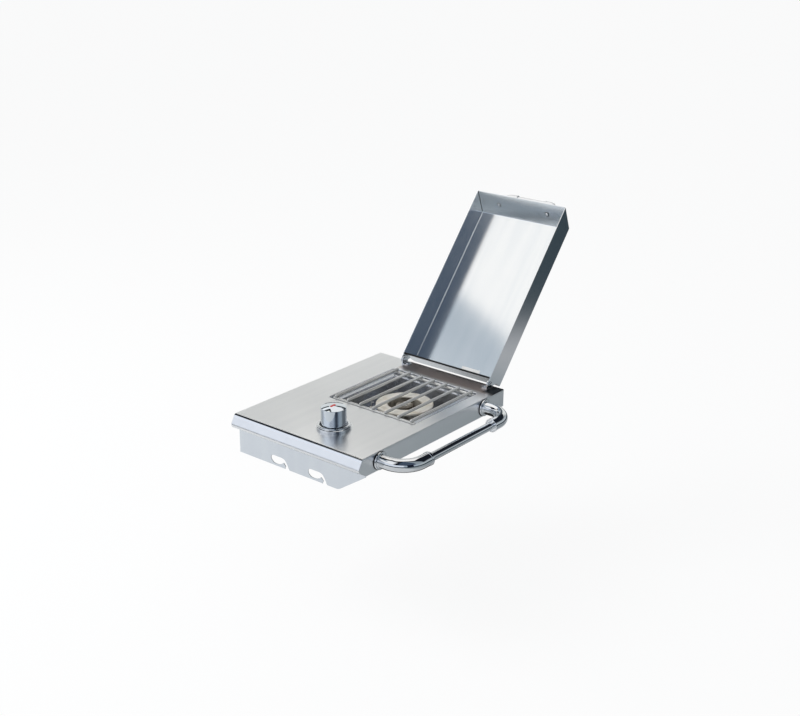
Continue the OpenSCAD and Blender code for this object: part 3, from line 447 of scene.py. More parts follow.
def capMetal(look):
    # pale heat-proof coating with faint warm clouds and fine pits
    made, s = material(look.name)
    cloud = s.noise(look.cloud, 4.0, 0.6)
    pits = s.noise(look.pits, 2.0, 0.6)
    colour = s.mix(s.rise(cloud, 0.42, 0.72), linear(look.colour), linear(look.warm))
    s.surface(Base_Color=colour, Metallic=0.0, Roughness=look.rough + 0.2 * (cloud - 0.5),
              Coat_Weight=look.coat, Coat_Roughness=look.coatRough,
              Normal=s.bump(pits, 0.3, look.depth))
    return made


softFinish = {
    "black_plastic": Look(name="blackPlastic", colour=(0.07, 0.07, 0.075), rough=0.42, grain=1400),
    "black_rubber": Look(name="blackRubber", colour=(0.045, 0.045, 0.05), rough=0.62, grain=1000),
    "ceramic": Look(name="glazedCeramic", colour=(0.90, 0.885, 0.85), rough=0.24, grain=500),
    "red_paint": Look(name="redPaint", colour=(0.80, 0.10, 0.09), rough=0.30, grain=800),
    "white_label": Look(name="whiteLabel", colour=(0.985, 0.985, 0.98), rough=0.50, grain=900)}


def plainSkin(look):
    made, s = material(look.name)
    grain = s.noise(look.grain, 3.0, 0.6)
    cloud = s.noise(look.grain * 0.06, 3.0, 0.5)
    colour = s.mix(cloud, linear(look.colour), linear(np.array(look.colour) * 0.86))
    s.surface(Base_Color=colour, Roughness=look.rough + 0.16 * (cloud - 0.5),
              Normal=s.bump(grain, 0.2, 0.00006))
    return made


finish = {}
for make, looks in ((brushedSteel, steelFinish), (plainMetal, metalFinish), (castMetal, castFinish),
                    (capMetal, enamelFinish), (plainSkin, softFinish)):
    for slot, look in looks.items():
        finish[slot] = make(look)
print("materials made:", len(finish))

# Shelf panel: one folded sheet. Its outline at each depth is a rounded rectangle whose front side
# leans out over the nose and back again, and whose size draws in round the bend to the flat top.
knobHole = Look(x=190.0, y=73.0, neck=9.5, screw=2.2, pitch=48.0)
mountHoles = Look(pitchY=300.0, pitchZ=18.0, radius=3.3)
barHoles = Look(y=47.0, pitch=320.0, radius=3.2)
footHoles = Look(x=(88.7, 290.3), y=417.3, radius=2.55)


def noseLine():
    # (y, z) points of the front side from its lower edge up to the start of the top bend
    low = [panel.plateBehind, skirtLow]
    nose = [-panel.noseOut, -panel.noseDrop]
    line = softened([low, nose, [0, 0]], panel.noseRound, 6)
    upper = line[-2] + (line[-1] - line[-2]) * np.array([[0.5], [1 - panel.bend / panel.noseDrop]])
    return join(line[:-1], upper)


def shelfPanel():
    shell = Shell()
    front = noseLine()
    bend = arc(0, 90, 6)[1:]
    inset = join(0 * front[:, 1], panel.bend * (1 - np.cos(bend)), [panel.bend + 0.4])
    z = join(front[:, 1], -panel.bend * (1 - np.sin(bend)), [0])
    lean = -panel.noseOut / panel.noseDrop
    y0 = join(front[:, 0], -lean * z[len(front):])
    radius = np.maximum(panel.corner - 0.55 * inset, 0.25)
    small = inset * panel.sideBend / panel.bend
    outer = shell.add(rings(small, panelWide - small, y0 + inset, panel.depth - small, radius, z))
    # a ring has four corners of six points; the right side follows the first, the left the third
    rightSide, leftSide = 5, 17
    shell.weave(outer, leave=(rightSide, leftSide))
    # side walls: all the rows' ends at a side, with the holes for bolts
    middle = skirtLow / 2
    barSpots = [(barHoles.y + k * barHoles.pitch, middle) for k in (0, 1)]
    mountSpots = [(panel.depth / 2 + k * mountHoles.pitchY / 2, middle + m * mountHoles.pitchZ / 2)
                  for k in (-1, 1) for m in (-1, 1)]
    for x, side, facing, spots, r in ((panelWide, rightSide, 1, barSpots, barHoles.radius),
                                      (0.0, leftSide, -1, mountSpots, mountHoles.radius)):
        upright = len(front)
        loop = join(outer[:upright, side], outer[:upright, side + 1][::-1])
        holes = [shell.add(circle((x, *spot), r, 32, (1, 2))) for spot in spots]
        shell.fill([loop] + holes, (facing, 0, 0))
        shell.weave(outer[upright - 1:, side:side + 2], closeRow=False)
    # lip of the opening, rolled down by a quarter circle
    roll = arc(90, 180, 5)
    lip = panel.lip
    e = join([lip + 0.4], lip + lip * np.cos(roll), [0])
    lipZ = join([0], lip * np.sin(roll) - lip, [-lip - 0.3])
    inner = shell.add(rings(opening.x0 - e, opening.x1 + e, opening.y0 - e, opening.y1 + e,
                            opening.corner + e, lipZ))
    shell.weave(inner)
    holes = [inner[0], shell.add(circle((knobHole.x, knobHole.y, 0), knobHole.neck))]
    for k in (-1, 1):
        screwX = knobHole.x + k * knobHole.pitch / 2
        holes.append(shell.add(circle((screwX, knobHole.y, 0), knobHole.screw, 20)))
    for x in footHoles.x:
        holes.append(shell.add(circle((x, footHoles.y, 0), footHoles.radius, 20)))
    shell.fill([outer[-1]] + holes, (0, 0, 1))
    return shell.piece("shelfPanel", panel.thick, 50)


place(shelfPanel(), "shelf", ["top_panel"], "panel_steel")

# Hook plate: a flat plate under the nose with two hooked slots cut up from its lower edge
hookPlate = Look(drop=84.0, flat=256.5, corner=39.5, round=20.0, upperRound=3.0, flange=14.0, bend=1.6,
                 slotX=85.3, pitch=96.0)
slotShape = [(36.5, 0), (36.2, 2), (38, 4.6), (35.7, 8.4), (32.2, 10.8), (27.7, 7.5), (21.7, 5), (14.7, 4.2),
             (8.7, 4.8), (4.2, 7), (1, 10.5), (0, 14), (0.9, 17.5), (3.5, 19.4), (6.7, 20.2), (17, 20.2),
             (27.3, 20.2), (32.7, 19.2), (36.7, 17), (39.7, 13.5), (42.7, 9), (45.2, 4), (47.6, 0)]


def flowing(points, steps=5):
    # a smooth curve through the points: each stretch is a cubic with slopes from its neighbours
    p = np.asarray(points, float)
    q = join(2 * p[:1] - p[1:2], p, 2 * p[-1:] - p[-2:-1])
    t = np.linspace(0, 1, steps, endpoint=False)[None, :, None]
    a, b, c, d = q[:-3, None], q[1:-2, None], q[2:-1, None], q[3:, None]
    curve = 0.5 * (2 * b + (c - a) * t + (2 * a - 5 * b + 4 * c - d) * t ** 2
                   + (3 * b - a - 3 * c + d) * t ** 3)
    return join(curve.reshape(-1, p.shape[1]), p[-1:])


def frontPlate():
    shell = Shell()
    low, high = ((np.array(spot) - corner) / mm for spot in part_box("front_plate"))
    x0, x1, y, top = low[0], high[0], low[1], -panel.thick - hookPlate.bend
    drop, upper = -hookPlate.drop, -hookPlate.corner
    slots = [flowing(slotShape) + [hookPlate.slotX + k * hookPlate.pitch, drop] for k in (0, 1)]
    # the first and last point only give the direction of the line there
    lower = softened([[x0 + 60, drop], [hookPlate.flat, drop], [x1, upper], [x1, upper + 8]],
                     [0, hookPlate.round, hookPlate.upperRound, 0], 10)[1:-1]
    outline = join([[x0, drop]], *slots, lower)
    face = shell.add(columns(outline[:, 0], y, outline[:, 1]))
    turn = arc(0, 90, 5)
    back = join(hookPlate.bend * (1 - np.cos(turn)), [hookPlate.flange])
    up = join(top + hookPlate.bend * np.sin(turn), [top + hookPlate.bend])
    bent = shell.add(np.stack([columns(x, y + back, up) for x in (x0, x1)], 1))
    shell.weave(bent, closeRow=False)
    shell.fill([join(face, bent[0][::-1])], (0, -1, 0))
    return shell.piece("hookPlate", panel.thick, 35)


place(frontPlate(), "shelf", ["front_plate"], "panel_steel", "front_steel")
print("shelf made")

# Burner pan: a pressed tray, from its flange under the panel down to a ledge and on to its floor
pan = Look(thick=1.0, flange=12.0, play=0.05, side=0.3, ledgeDrop=6.0, ledge=19.0, floor=60.0, corner=6.0,
           floorCorner=3.0, lipRound=1.0, ledgeRound=2.5, floorRound=7.0, tubeHole=12.0, tubeZ=-37.0)
burner = Look(x=189.65, y=283.0, screwHole=3.2)
spark = Look(x=137.0, y=243.0, hole=3.5)


def burnerPan():
    shell = Shell()
    top = -panel.thick - pan.play
    ledge, ledgeZ, floorZ = pan.ledge, -pan.ledgeDrop, -pan.floor
    line = softened([[-pan.flange, top], [pan.side, top], [pan.side, ledgeZ], [ledge, ledgeZ],
                     [ledge, floorZ], [ledge + 30, floorZ]],
                    [0, pan.lipRound, pan.ledgeRound, pan.ledgeRound, pan.floorRound, 0], 6)[:-1]
    step, z = line.T
    inside = np.clip(step, 0, ledge) / ledge
    radius = opening.corner * (1 - inside) + pan.corner * inside + np.clip(-step, 0, 20)
    radius = np.maximum(radius - np.clip(step - ledge, 0, 20), pan.floorCorner)
    index = shell.add(rings(opening.x0 + step, opening.x1 - step, opening.y0 + step,
                            opening.y1 - step, radius, z, 8))
    # the upright wall's front side has the hole for the mixing tube
    wall = np.nonzero((np.abs(step - ledge) < 1e-6))[0]
    above, below = wall[0], wall[-1]
    frontSide = index.shape[1] - 1
    shell.weave(index[:above + 1])
    shell.weave(index[below:])
    shell.weave(index[above:below + 1], leave=(frontSide,))
    hole = shell.add(circle((burner.x, opening.y0 + ledge, pan.tubeZ), pan.tubeHole, 40, (0, 2)))
    loop = join(index[above:below + 1, -1], index[above:below + 1, 0][::-1])
    shell.fill([loop, hole], (0, 1, 0))
    holes = [shell.add(circle((spark.x, spark.y, floorZ), spark.hole, 24)),
             shell.add(circle((burner.x, burner.y, floorZ), burner.screwHole, 24))]
    shell.fill([index[-1]] + holes, (0, 0, 1))
    return shell.piece("burnerPan", pan.thick, 50)


place(burnerPan(), "shelf", ["burner_pan"], "pan_steel")

# Grate: long rods with domed ends on two cross rods
grate = Look(rods=7, radius=3.0, pitch=31.8, length=196.0, x=191.15, z=3.0, crossZ=-2.7, crossPitch=187.0,
             crossLength=205.0, crossRound=0.7)
openMiddle = (opening.y0 + opening.y1) / 2


def grateRods():
    shell = Shell()
    dome = arc(2, 90, 8)
    lower = columns(grate.radius * np.sin(dome), grate.radius - grate.radius * np.cos(dome))
    upper = columns(lower[::-1, 0], grate.length - lower[::-1, 1])
    for k in range(grate.rods):
        x = grate.x + (k - (grate.rods - 1) / 2) * grate.pitch
        spun(shell, join(lower, upper), (x, openMiddle - grate.length / 2, grate.z),
             (0, 1, 0), 32)
    return shell.piece("grateRods", sharp=60)


def grateCrossRods():
    shell = Shell()
    end, r = grate.crossLength, grate.radius
    flat = softened([[0.3, 0], [r, 0], [r, end], [0.3, end]], grate.crossRound, 4)
    for k in (-1, 1):
        y = openMiddle + k * grate.crossPitch / 2
        spun(shell, flat, (grate.x - end / 2, y, grate.crossZ), (1, 0, 0), 32)
    return shell.piece("grateCrossRods", sharp=60)


place(grateRods(), "grate", ["grate_rods"], "rod_steel")
place(grateCrossRods(), "grate", ["grate_crossbars"], "rod_steel")

# Burner cap: a flat ring with a turned-down outer rim and softened edges
cap = Look(top=-18.0, under=-21.0, inner=34.0, outer=57.5, lip=1.5)


def burnerCap():
    shell = Shell()
    r0, r1, top, under = cap.inner, cap.outer, cap.top, cap.under
    outline = softened([[r0 + 8, under], [r1 - 2, under], [r1 - 2, under - cap.lip],
                        [r1, under - cap.lip], [r1, top - 0.9], [r1 - 2.4, top - 0.35], [r0 + 3, top],
                        [r0, top - 0.7], [r0, under], [r0 + 8, under]],
                       [0, 0, 0.4, 0.4, 1.2, 3, 2, 0.8, 0.5, 0], 5)
    spun(shell, outline[:-1], (burner.x, burner.y, 0), steps=128, hollow=True)
    return shell.piece("burnerCap", sharp=60)


place(burnerCap(), "shelf", ["burner_cap"], "cap_metal")
print("pan, grate and burner cap made")

# Knob: a cup with straight sides and a domed top, with a pointer on it
knob = Look(x=190.0, y=73.0, radius=24.25, low=6.5, top=45.0, dome=4.0, wall=2.5, roof=39.0, hub=7.0,
            hubLow=5.3, bore=4.1, edge=1.6, pointerWide=6.0, pointerFront=-9.0, pointerRear=5.0,
            pointerRise=0.18)
ballRound = (knob.radius ** 2 + knob.dome ** 2) / (2 * knob.dome)


def domeHeight(r):
    # height of the knob's top at a distance from its middle
    return knob.top - ballRound + np.sqrt(ballRound ** 2 - r ** 2)


def knobCup():
    shell = Shell()
    r, roof, low, hub, hubLow = (knob[key] for key in ("radius", "roof", "low", "hub", "hubLow"))
    side = np.array([[knob.bore, hubLow], [hub, hubLow], [hub, roof],
                     [r - knob.wall, roof], [r - knob.wall, low], [r, low]])
    across = np.linspace(r, 0.6, 24)
    dome = columns(across, domeHeight(across))
    outline = softened(join(side, dome), [0, 0.3, 1, 1.5, 0.6, 0.6, knob.edge] + [0] * 23, 6)
    spun(shell, outline, (knob.x, knob.y, 0), steps=128)
    return shell.piece("knobCup", sharp=40)


def knobPointer():
    # a thin bar with round ends that follows the dome and stands slightly above it
    shell = Shell()
    half = knob.pointerWide / 2
    middle = (knob.pointerFront + knob.pointerRear) / 2
    reach = (knob.pointerRear - knob.pointerFront) / 2
    inset = np.array([0, 0, 0.15, 0.45, 1.0, 1.6])
    rise = np.array([-0.6, 0.02, 0.14] + [knob.pointerRise] * 3)
    flat = rings(-half + inset, half - inset, middle - reach + inset, middle + reach - inset,
                 np.maximum(half - inset - 0.05, 0.3), 0 * inset, 8)
    flat[..., 2] = domeHeight(np.hypot(flat[..., 0], flat[..., 1])) + rise[:, None]
    index = shell.add(flat + [knob.x, knob.y, 0])
    shell.weave(index)
    shell.faces.append(index[0][::-1].tolist())
    # the two halves of the top ring, joined across
    rightHalf, leftHalf = np.split(index[-1], 2)
    shell.weave(np.stack([rightHalf, leftHalf[::-1]]), closeRow=False)
    return shell.piece("knobPointer", sharp=50)


bezel = Look(outer=33.0, bore=27.0, high=8.0)


def knobBezel():
    shell = Shell()
    r, b, h = bezel.outer, bezel.bore, bezel.high
    outline = softened([[r - 2.4, 2], [r - 2.4, 0], [r, 0], [r, h - 3], [r - 1, h - 2.4], [r - 2, h - 2.4],
                        [r - 2, h - 0.6], [r - 2.8, h], [b + 0.6, h], [b, h - 0.6], [b, h - 2],
                        [r - 3.4, h - 3.6], [r - 2.4, h - 4.6], [r - 2.4, 2]],
                       [0, 0, 0.2, 0.5, 0.3, 0.5, 0.6, 0.5, 0.5, 0.3, 0.3, 0.3, 0.2, 0], 4)
    spun(shell, outline[:-1], (knob.x, knob.y, 0), steps=128, hollow=True)
    return shell.piece("knobBezel", sharp=60)


place(knobCup(), "knob", ["knob"], "bright_chrome", "knob_chrome")
place(knobPointer(), "knob", ["knob_pointer"], "red_paint")
place(knobBezel(), "shelf", ["knob_bezel"], "bright_chrome")

# Lid: built closed, then turned open about its hinge. Its outline at each height is a rounded
# rectangle that draws in with its sloped front and rear walls and round the bend to the plate.
lid = Look(x0=77.5, x1=301.5, front=13.6, rear=408.0, gap=0.5, high=47.0, slopeFront=27.0, slopeRear=1.0,
           thick=1.2, corner=1.8, bend=3.0, open=129.7, pivotY=417.0, pivotZ=9.5, ear=8.0, earTurn=50,
           earInside=3.0, earThin=0.04, eye=3.05)


def opened(points):
    # turns closed points back about the hinge line by the opening angle
    a = math.radians(-lid.open)
    y, z = points[..., 1] - lid.pivotY, points[..., 2] - lid.pivotZ
    return np.stack([points[..., 0], lid.pivotY + y * math.cos(a) - z * math.sin(a),
                     lid.pivotZ + y * math.sin(a) + z * math.cos(a)], -1)


def lidShell():
    shell = Shell()
    bend = arc(0, 90, 7)
    inset = join([0, 0, 0], lid.bend * (1 - np.cos(bend)), [lid.bend + 0.6])
    topZ = lid.gap + lid.high
    z = join([lid.gap, lid.gap + 2, topZ - lid.bend - 1],
             topZ - lid.bend * (1 - np.sin(bend)), [topZ])
    rise = (z - lid.gap) / lid.high
    radius = np.maximum(lid.corner - 0.4 * inset, 1.25)
    index = shell.add(rings(lid.x0 + inset, lid.x1 - inset,
                            lid.front + lid.slopeFront * rise + inset,
                            lid.rear - lid.slopeRear * rise - inset, radius, z))
    shell.weave(index)
    shell.fill([index[-1]], (0, 0, 1))
    return shell.piece("lidShell", lid.thick, 40)


def lidEars():
    # two round-ended tabs that carry the side walls on to the hinge pins
    shell = Shell()
    r, y, z, thin = lid.ear, lid.pivotY, lid.pivotZ, lid.earThin
    inner = lid.rear - lid.slopeRear - lid.earInside
    turn = arc(-90, lid.earTurn, 20)
    bow = columns(y + r * np.cos(turn), z + r * np.sin(turn))
    back = bow[-1, 0] - inner
    slope = bow[-1] + [-back, back * math.tan(math.radians(90 - lid.earTurn))]
    outline = join([[inner, z - r]], bow, slope[None])
    for x in (lid.x0, lid.x1 - lid.thick):
        edges, eyes = [], []
        for side, facing in ((x + thin, -1), (x + lid.thick - thin, 1)):
            edges.append(shell.add(np.insert(outline, 0, side, axis=1)))
            eyes.append(shell.add(circle((side, y, z), lid.eye, 32, (1, 2))))
            shell.fill([edges[-1], eyes[-1]], (facing, 0, 0))
        shell.weave(np.stack(edges)[:, ::-1])
        shell.weave(np.stack(eyes))
    return shell.piece("lidEars")


lidPiece, earPiece = lidShell(), lidEars()
for part in (lidPiece, earPiece):
    kept(part)
    spots = np.zeros(len(part.data.vertices) * 3)
    part.data.vertices.foreach_get("co", spots)
    local = (spots.reshape(-1, 3) - corner) / mm
    # the wall's inner edge would come out lower than the rim where the front slopes
    local[:, 2] = np.maximum(local[:, 2], lid.gap)
    part.data.vertices.foreach_set("co", (opened(local) * mm + corner).ravel())
    part.data.update()
place(lidPiece, "lid", ["lid"], "lid_steel")
place(earPiece, "lid", ["lid"], "lid_steel")

# Lid handle: two bent posts on the sloped front wall, the bar between them, and inside the wall a
# screw with a washer for each post
grip = Look(x=189.5, pitch=122.8, out=35.0, radius=5.0, bend=14.0, end=12.0, bar=3.5, play=0.05,
            flange=7.5, flangeThick=2.0, collar=5.4, collarLong=2.2, depth=4.0)
gripScrew = Look(head=4.2, high=2.2, seat=0.6, shaft=2.0, shaftLong=10.0)
frontTilt = math.atan2(lid.high, lid.slopeFront)
frontOut = np.array([0, -math.sin(frontTilt), math.cos(frontTilt)])
frontMiddle = np.array([0, lid.front + lid.slopeFront / 2, lid.gap + lid.high / 2])
gripPosts = [(k, frontMiddle + [grip.x + k * grip.pitch / 2, 0, 0]) for k in (-1, 1)]


def elbowOutline(look, straight, foot, tip, steps):
    # (distance, radius) along an elbow; the tip's distances count back from the elbow's end
    quarter = look.bend * math.pi / 2
    bow = columns(straight + quarter * np.linspace(0, 1, steps), look.radius)
    return join(foot, bow, tip + [straight + quarter + look.end, 0])


def lidHandleElbows():
    shell = Shell()
    straight = grip.out - grip.bend
    r, plate, collar, long, deep = (
        grip[key] for key in ("radius", "flangeThick", "collar", "collarLong", "depth"))
    bore = grip.bar + grip.play
    foot = softened([[0, 0.6], [0, grip.flange], [plate, grip.flange], [plate, r], [6, r]],
                    [0, 0.3, 0.9, 1.2, 0], 4)
    tip = softened([[-deep, r], [-long, r], [-long, collar], [0, collar], [0, bore], [-deep, bore]],
                   [0, 0.1, 0.3, 0.5, 0.3, 0], 3)
    outline = elbowOutline(grip, straight, foot, tip, 16)
    for k, post in gripPosts:
        swept(shell, outline, post, frontOut, (-k, 0, 0), straight, grip.bend, 40)
    return shell.piece("lidHandleElbows", sharp=50, turn=opened)


def lidHandleBar():
    shell = Shell()
    r, half = grip.bar, grip.pitch / 2 - grip.bend - grip.depth
    start = frontMiddle + frontOut * grip.out + [grip.x - half, 0, 0]
    spun(shell, [[r, 0], [r, 2], [r, half], [r, 2 * half]], start, (1, 0, 0), 40)
    return shell.piece("lidHandleBar", sharp=50, turn=opened)


def lidHandleScrews():
    # domed heads, and the shafts that go through the wall into the posts
    shell = Shell()
    dome = arc(8, 78, 8)
    ball = columns(gripScrew.head * np.sin(dome), gripScrew.seat + gripScrew.high * np.cos(dome))
    outline = join([[0.5, 0.3], [4.1, 0.3], [4.25, gripScrew.seat]], ball[::-1])
    for k, post in gripPosts:
        inside = post - frontOut * lid.thick
        spun(shell, outline, inside, -frontOut, 40)
        spun(shell, [[gripScrew.shaft, -gripScrew.shaftLong], [gripScrew.shaft, -0.5]], inside,
             -frontOut, 24)
    return shell.piece("lidHandleScrews", sharp=50, turn=opened)


def lidHandleWashers():
    shell = Shell()
    outline = [[2.2, 0.02], [5.3, 0.02], [5.3, 0.35], [5.0, 0.5], [2.2, 0.5]]
    for k, post in gripPosts:
        spun(shell, outline, post - frontOut * lid.thick, -frontOut, 40, True)
    return shell.piece("lidHandleWashers", sharp=50, turn=opened)


seam = Look(radius=0.7, fromSide=0.15, fromFront=1.35, low=0.3, high=0.6)
# dark beads along the rear rim, painted shade for the gap there: (distance from the rear rim, height over the
# rim, radius)
rimShadeBeads = Look(fromSide=0.1, beads=((0.6, 0.55, 0.95), (2.6, 1.1, 1.0)))


def lidDarkBeads():
    # a bead of dark filler up each inner corner between a side wall and the sloped front wall
    shell = Shell()
    z = np.linspace(lid.gap + seam.low, lid.gap + lid.high - lid.thick - seam.high, 12)
    y = lid.front + lid.slopeFront * (z - lid.gap) / lid.high + seam.fromFront
    left, right = lid.x0 + lid.thick, lid.x1 - lid.thick
    for x in (left + seam.fromSide, right - seam.fromSide):
        alongPath(shell, columns(x, y, z), seam.radius, 10)
    # painted shade: dark beads along the rear rim, where the gap behind it lies in shadow
    x = np.linspace(left + rimShadeBeads.fromSide, right - rimShadeBeads.fromSide, 12)
    for back, up, r in rimShadeBeads.beads:
        alongPath(shell, columns(x, lid.rear - back, lid.gap + up), r, 12)
    return shell.piece("lidDarkBeads", sharp=50, turn=opened)


place(lidHandleElbows(), "lid", ["lid_handle_elbows"], "bright_chrome")
place(lidHandleBar(), "lid", ["lid_handle_bar"], "bright_chrome")
place(lidHandleScrews(), "lid", ["lid_handle_screws"], "zinc_plate", "bright_chrome")
place(lidHandleWashers(), "lid", ["lid_handle_screws"], "black_rubber")
# the dark beads along the lid's rear rim are painted shade
place(lidDarkBeads(), "lid", ["lid"], "black_rubber")
print("knob and lid made")

# Towel bar: two flanged elbows with collars, gaskets behind them, and the tube between them
towel = Look(y=47.0, pitch=320.0, out=62.9, bend=44.5, radius=12.7, end=20.0, depth=15.0, bar=8.0,
             wall=1.5, play=0.05, flange=17.25, flangeThick=3.0, collar=13.4, collarLong=5.2, mouth=11.0,
             mouthDeep=1.5, gasket=1.5, gasketOver=0.75)


def towelElbow(name, y, turnTo):
    shell = Shell()
    straight = towel.out - towel.gasket - towel.bend
    r, flange, plate, collar, long = (
        towel[key] for key in ("radius", "flange", "flangeThick", "collar", "collarLong"))
    mouth, deep, bore = towel.mouth, towel.mouthDeep, towel.bar + towel.play
    foot = softened([[0, 3], [0, flange], [plate, flange], [plate, r], [9, r]], [0, 0.4, 1.3, 1.6, 0], 5)
    tip = softened([[-12, r], [-long, r], [-long, collar], [0, collar], [0, mouth], [-deep, mouth],
                    [-deep, bore], [-towel.depth, bore]], [0, 0.3, 0.6, 0.8, 0.5, 0.3, 0.2, 0], 4)
    swept(shell, elbowOutline(towel, straight, foot, tip, 30),
          (panelWide + towel.gasket, y, skirtLow / 2), (1, 0, 0), turnTo, straight, towel.bend, 64)
    return shell.piece(name, sharp=50)


def towelTube():
    shell = Shell()
    reach = towel.bend + towel.end - towel.depth
    end = towel.pitch - 2 * reach
    r, inside = towel.bar, towel.bar - towel.wall
    outline = [[inside, 0], [r, 0], [r, 2], [r, end / 2], [r, end - 2], [r, end], [inside, end]]
    spun(shell, outline, (panelWide + towel.out, towel.y + reach, skirtLow / 2), (0, 1, 0), 64, True)
    return shell.piece("towelTube", sharp=50)


def barGaskets():
    shell = Shell()
    r, thick = towel.flange + towel.gasketOver, towel.gasket
    outline = softened([[3, 0.7], [3, 0], [r, 0], [r, thick], [3, thick], [3, 0.7]],
                       [0, 0, 0.4, 0.4, 0, 0], 4)[:-1]
    for k in (0, 1):
        spun(shell, outline, (panelWide, towel.y + k * towel.pitch, skirtLow / 2), (1, 0, 0), 64, True)
    return shell.piece("barGaskets", sharp=50)


place(towelElbow("towelElbowFront", towel.y, (0, 1, 0)), "shelf", ["bar_elbow_front"], "bright_chrome")
place(towelElbow("towelElbowRear", towel.y + towel.pitch, (0, -1, 0)), "shelf", ["bar_elbow_rear"],
      "bright_chrome")
place(towelTube(), "shelf", ["towel_bar"], "bright_chrome")
place(barGaskets(), "shelf", ["bar_gaskets"], "black_rubber")
print("towel bar made")

# Ignition lead: from the igniter module to the electrode, under the pan, held by its clip
lead = Look(start=(166.5, 85.0, -30.0), lowZ=-73.0, radius=1.5, bend=8.0, leave=14.0, arrive=16.0,
            clipRun=52.0)


def leadPath():
    # straight out, an S curve down and across (3t^2 - 2t^3 sideways, t forwards), straight past the
    # clip, and up a quarter bend
    start = np.array(lead.start)
    run = lead.arrive + lead.clipRun
    arrive = np.array([spark.x, spark.y - lead.bend - run, lead.lowZ])
    begin = start + [0, lead.leave, 0]
    t = np.linspace(0, 1, 60)[:, None]
    ease = t * t * (3 - 2 * t)
    across = begin + (arrive - begin) * np.concatenate([ease, t, ease], 1)
    straight = arrive + np.linspace(0, 1, 12)[1:, None] * [0, run, 0]
    turn = arc(0, 90, 12)[1:]
    up = straight[-1] + lead.bend * columns(0.0, np.sin(turn), 1 - np.cos(turn))
    leaving = start + np.linspace(0, 1, 5)[:-1, None] * [0, lead.leave, 0]
    return join(leaving, across, straight, up)


leadShell = Shell()
leadLine = leadPath()
alongPath(leadShell, leadLine, lead.radius)
leadPiece = place(leadShell.piece("ignitionLead", sharp=60), "shelf", ["ignition_lead"], "black_rubber")
leadLength = float(np.linalg.norm(np.diff(leadLine, axis=0), axis=1).sum()) * mm

# Hinge pins: a domed head outside the lid's wall, a shaft and a riveted end behind the bracket
pin = Look(left=75.0, right=304.0, y=417.0, z=9.5, head=6.0, headHigh=2.2, headEdge=0.4, shaft=3.0,
           span=6.7, foot=4.5, footHigh=1.6)


def hingePins():
    shell = Shell()
    head, high, shaft, span, foot = (pin[key] for key in ("head", "headHigh", "shaft", "span", "foot"))
    end = span + pin.footHigh
    bow = arc(4, 90, 10)
    dome = columns(head * np.sin(bow), (high - pin.headEdge) * (1 - np.cos(bow)))
    tail = [[head, high], [shaft, high], [shaft, span], [foot, span], [foot, end], [0.4, end]]
    outline = softened(join(dome, tail), [0] * 11 + [0.15, 0, 0, 0, 0.6, 0], 3)
    for side, way in (("left", 1), ("right", -1)):
        spun(shell, outline, (pin[side], pin.y, pin.z), axis=(way, 0, 0), steps=40)
    return shell.piece("hingePins", sharp=40)


place(hingePins(), "shelf", ["hinge_pins"], "zinc_plate", "bright_chrome")

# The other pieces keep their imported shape. They get softened edges, in millimetres here, and each
# its own finish.
keptNodes = {
    "zinc_plate": {"burner_screw": 0.3, "burner_nut": 0.4, "burner_strap": 0.4, "air_shutter": 0.3,
                   "valve_screws": 0.3, "valve_nuts": 0.4, "valve_plunger": 0.3, "electrode_wire": 0.2,
                   "electrode_holder": 0.3, "lead_clip": 0.2, "bar_bolts": 0.4},
    "bright_chrome": {"hinge_bracket_left": 0.4, "hinge_bracket_right": 0.4, "bracket_rivets": 0.4},
    "brass": {"gas_jet": 0.3, "inlet_fitting": 0.4, "valve_stem": 0.3},
    "black_plastic": {"igniter_module": 1.2, "hinge_washers": 0.15},
    "burner_metal": {"burner_body": 0.5}, "valve_metal": {"valve_body": 0.8},
    "ceramic": {"electrode_ceramic": 0.4}, "white_label": {"lid_label": 0.05}}
softEdge = Look(merge=0.00001, flat=0.5, segments=2, angle=40)
for look, name, edge in [(look, *found) for look, group in keptNodes.items() for found in group.items()]:
    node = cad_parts[name]
    node.data.materials.clear()
    node.data.materials.append(finish[look])
    joined = node.modifiers.new("joined", "WELD")
    joined.merge_threshold = softEdge.merge
    flatter = node.modifiers.new("flatter", "DECIMATE")
    flatter.decimate_type, flatter.angle_limit = "DISSOLVE", math.radians(softEdge.flat)
    soft = node.modifiers.new("softEdges", "BEVEL")
    soft.width, soft.segments, soft.angle_limit = edge * mm, softEdge.segments, math.radians(softEdge.angle)
    soft.limit_method, soft.harden_normals = "ANGLE", False
    node.modifiers.new("flats", "WEIGHTED_NORMAL").keep_sharp = True
print("packed nodes finished:", sum(len(group) for group in keptNodes.values()))

# Floor, light and camera
floorLook = Look(height=-0.34, half=60.0, middle=(0.04, 0.18), glow=1.03, glowShare=0.86,
                 pale=(0.88, 0.885, 0.89), dark=(0.27, 0.32, 0.35), darkEdge=(1.62, 1.9),
                 right=(0.66, 0.69, 0.705), rightEdge=(0.5, 0.95), farRight=(0.82, 0.815, 0.82),
                 # under is the colour of a painted shadow below the object, seen only in reflections
                 farEdge=(0.95, 1.15), under=(0.20, 0.20, 0.20), underEdge=(0.30, 0.385))


def quad(name, corners, paint):
    mesh = bpy.data.meshes.new(name)
    mesh.from_pydata(corners, [], [(0, 1, 2, 3)])
    mesh.materials.append(paint)
    return linked(name, mesh)


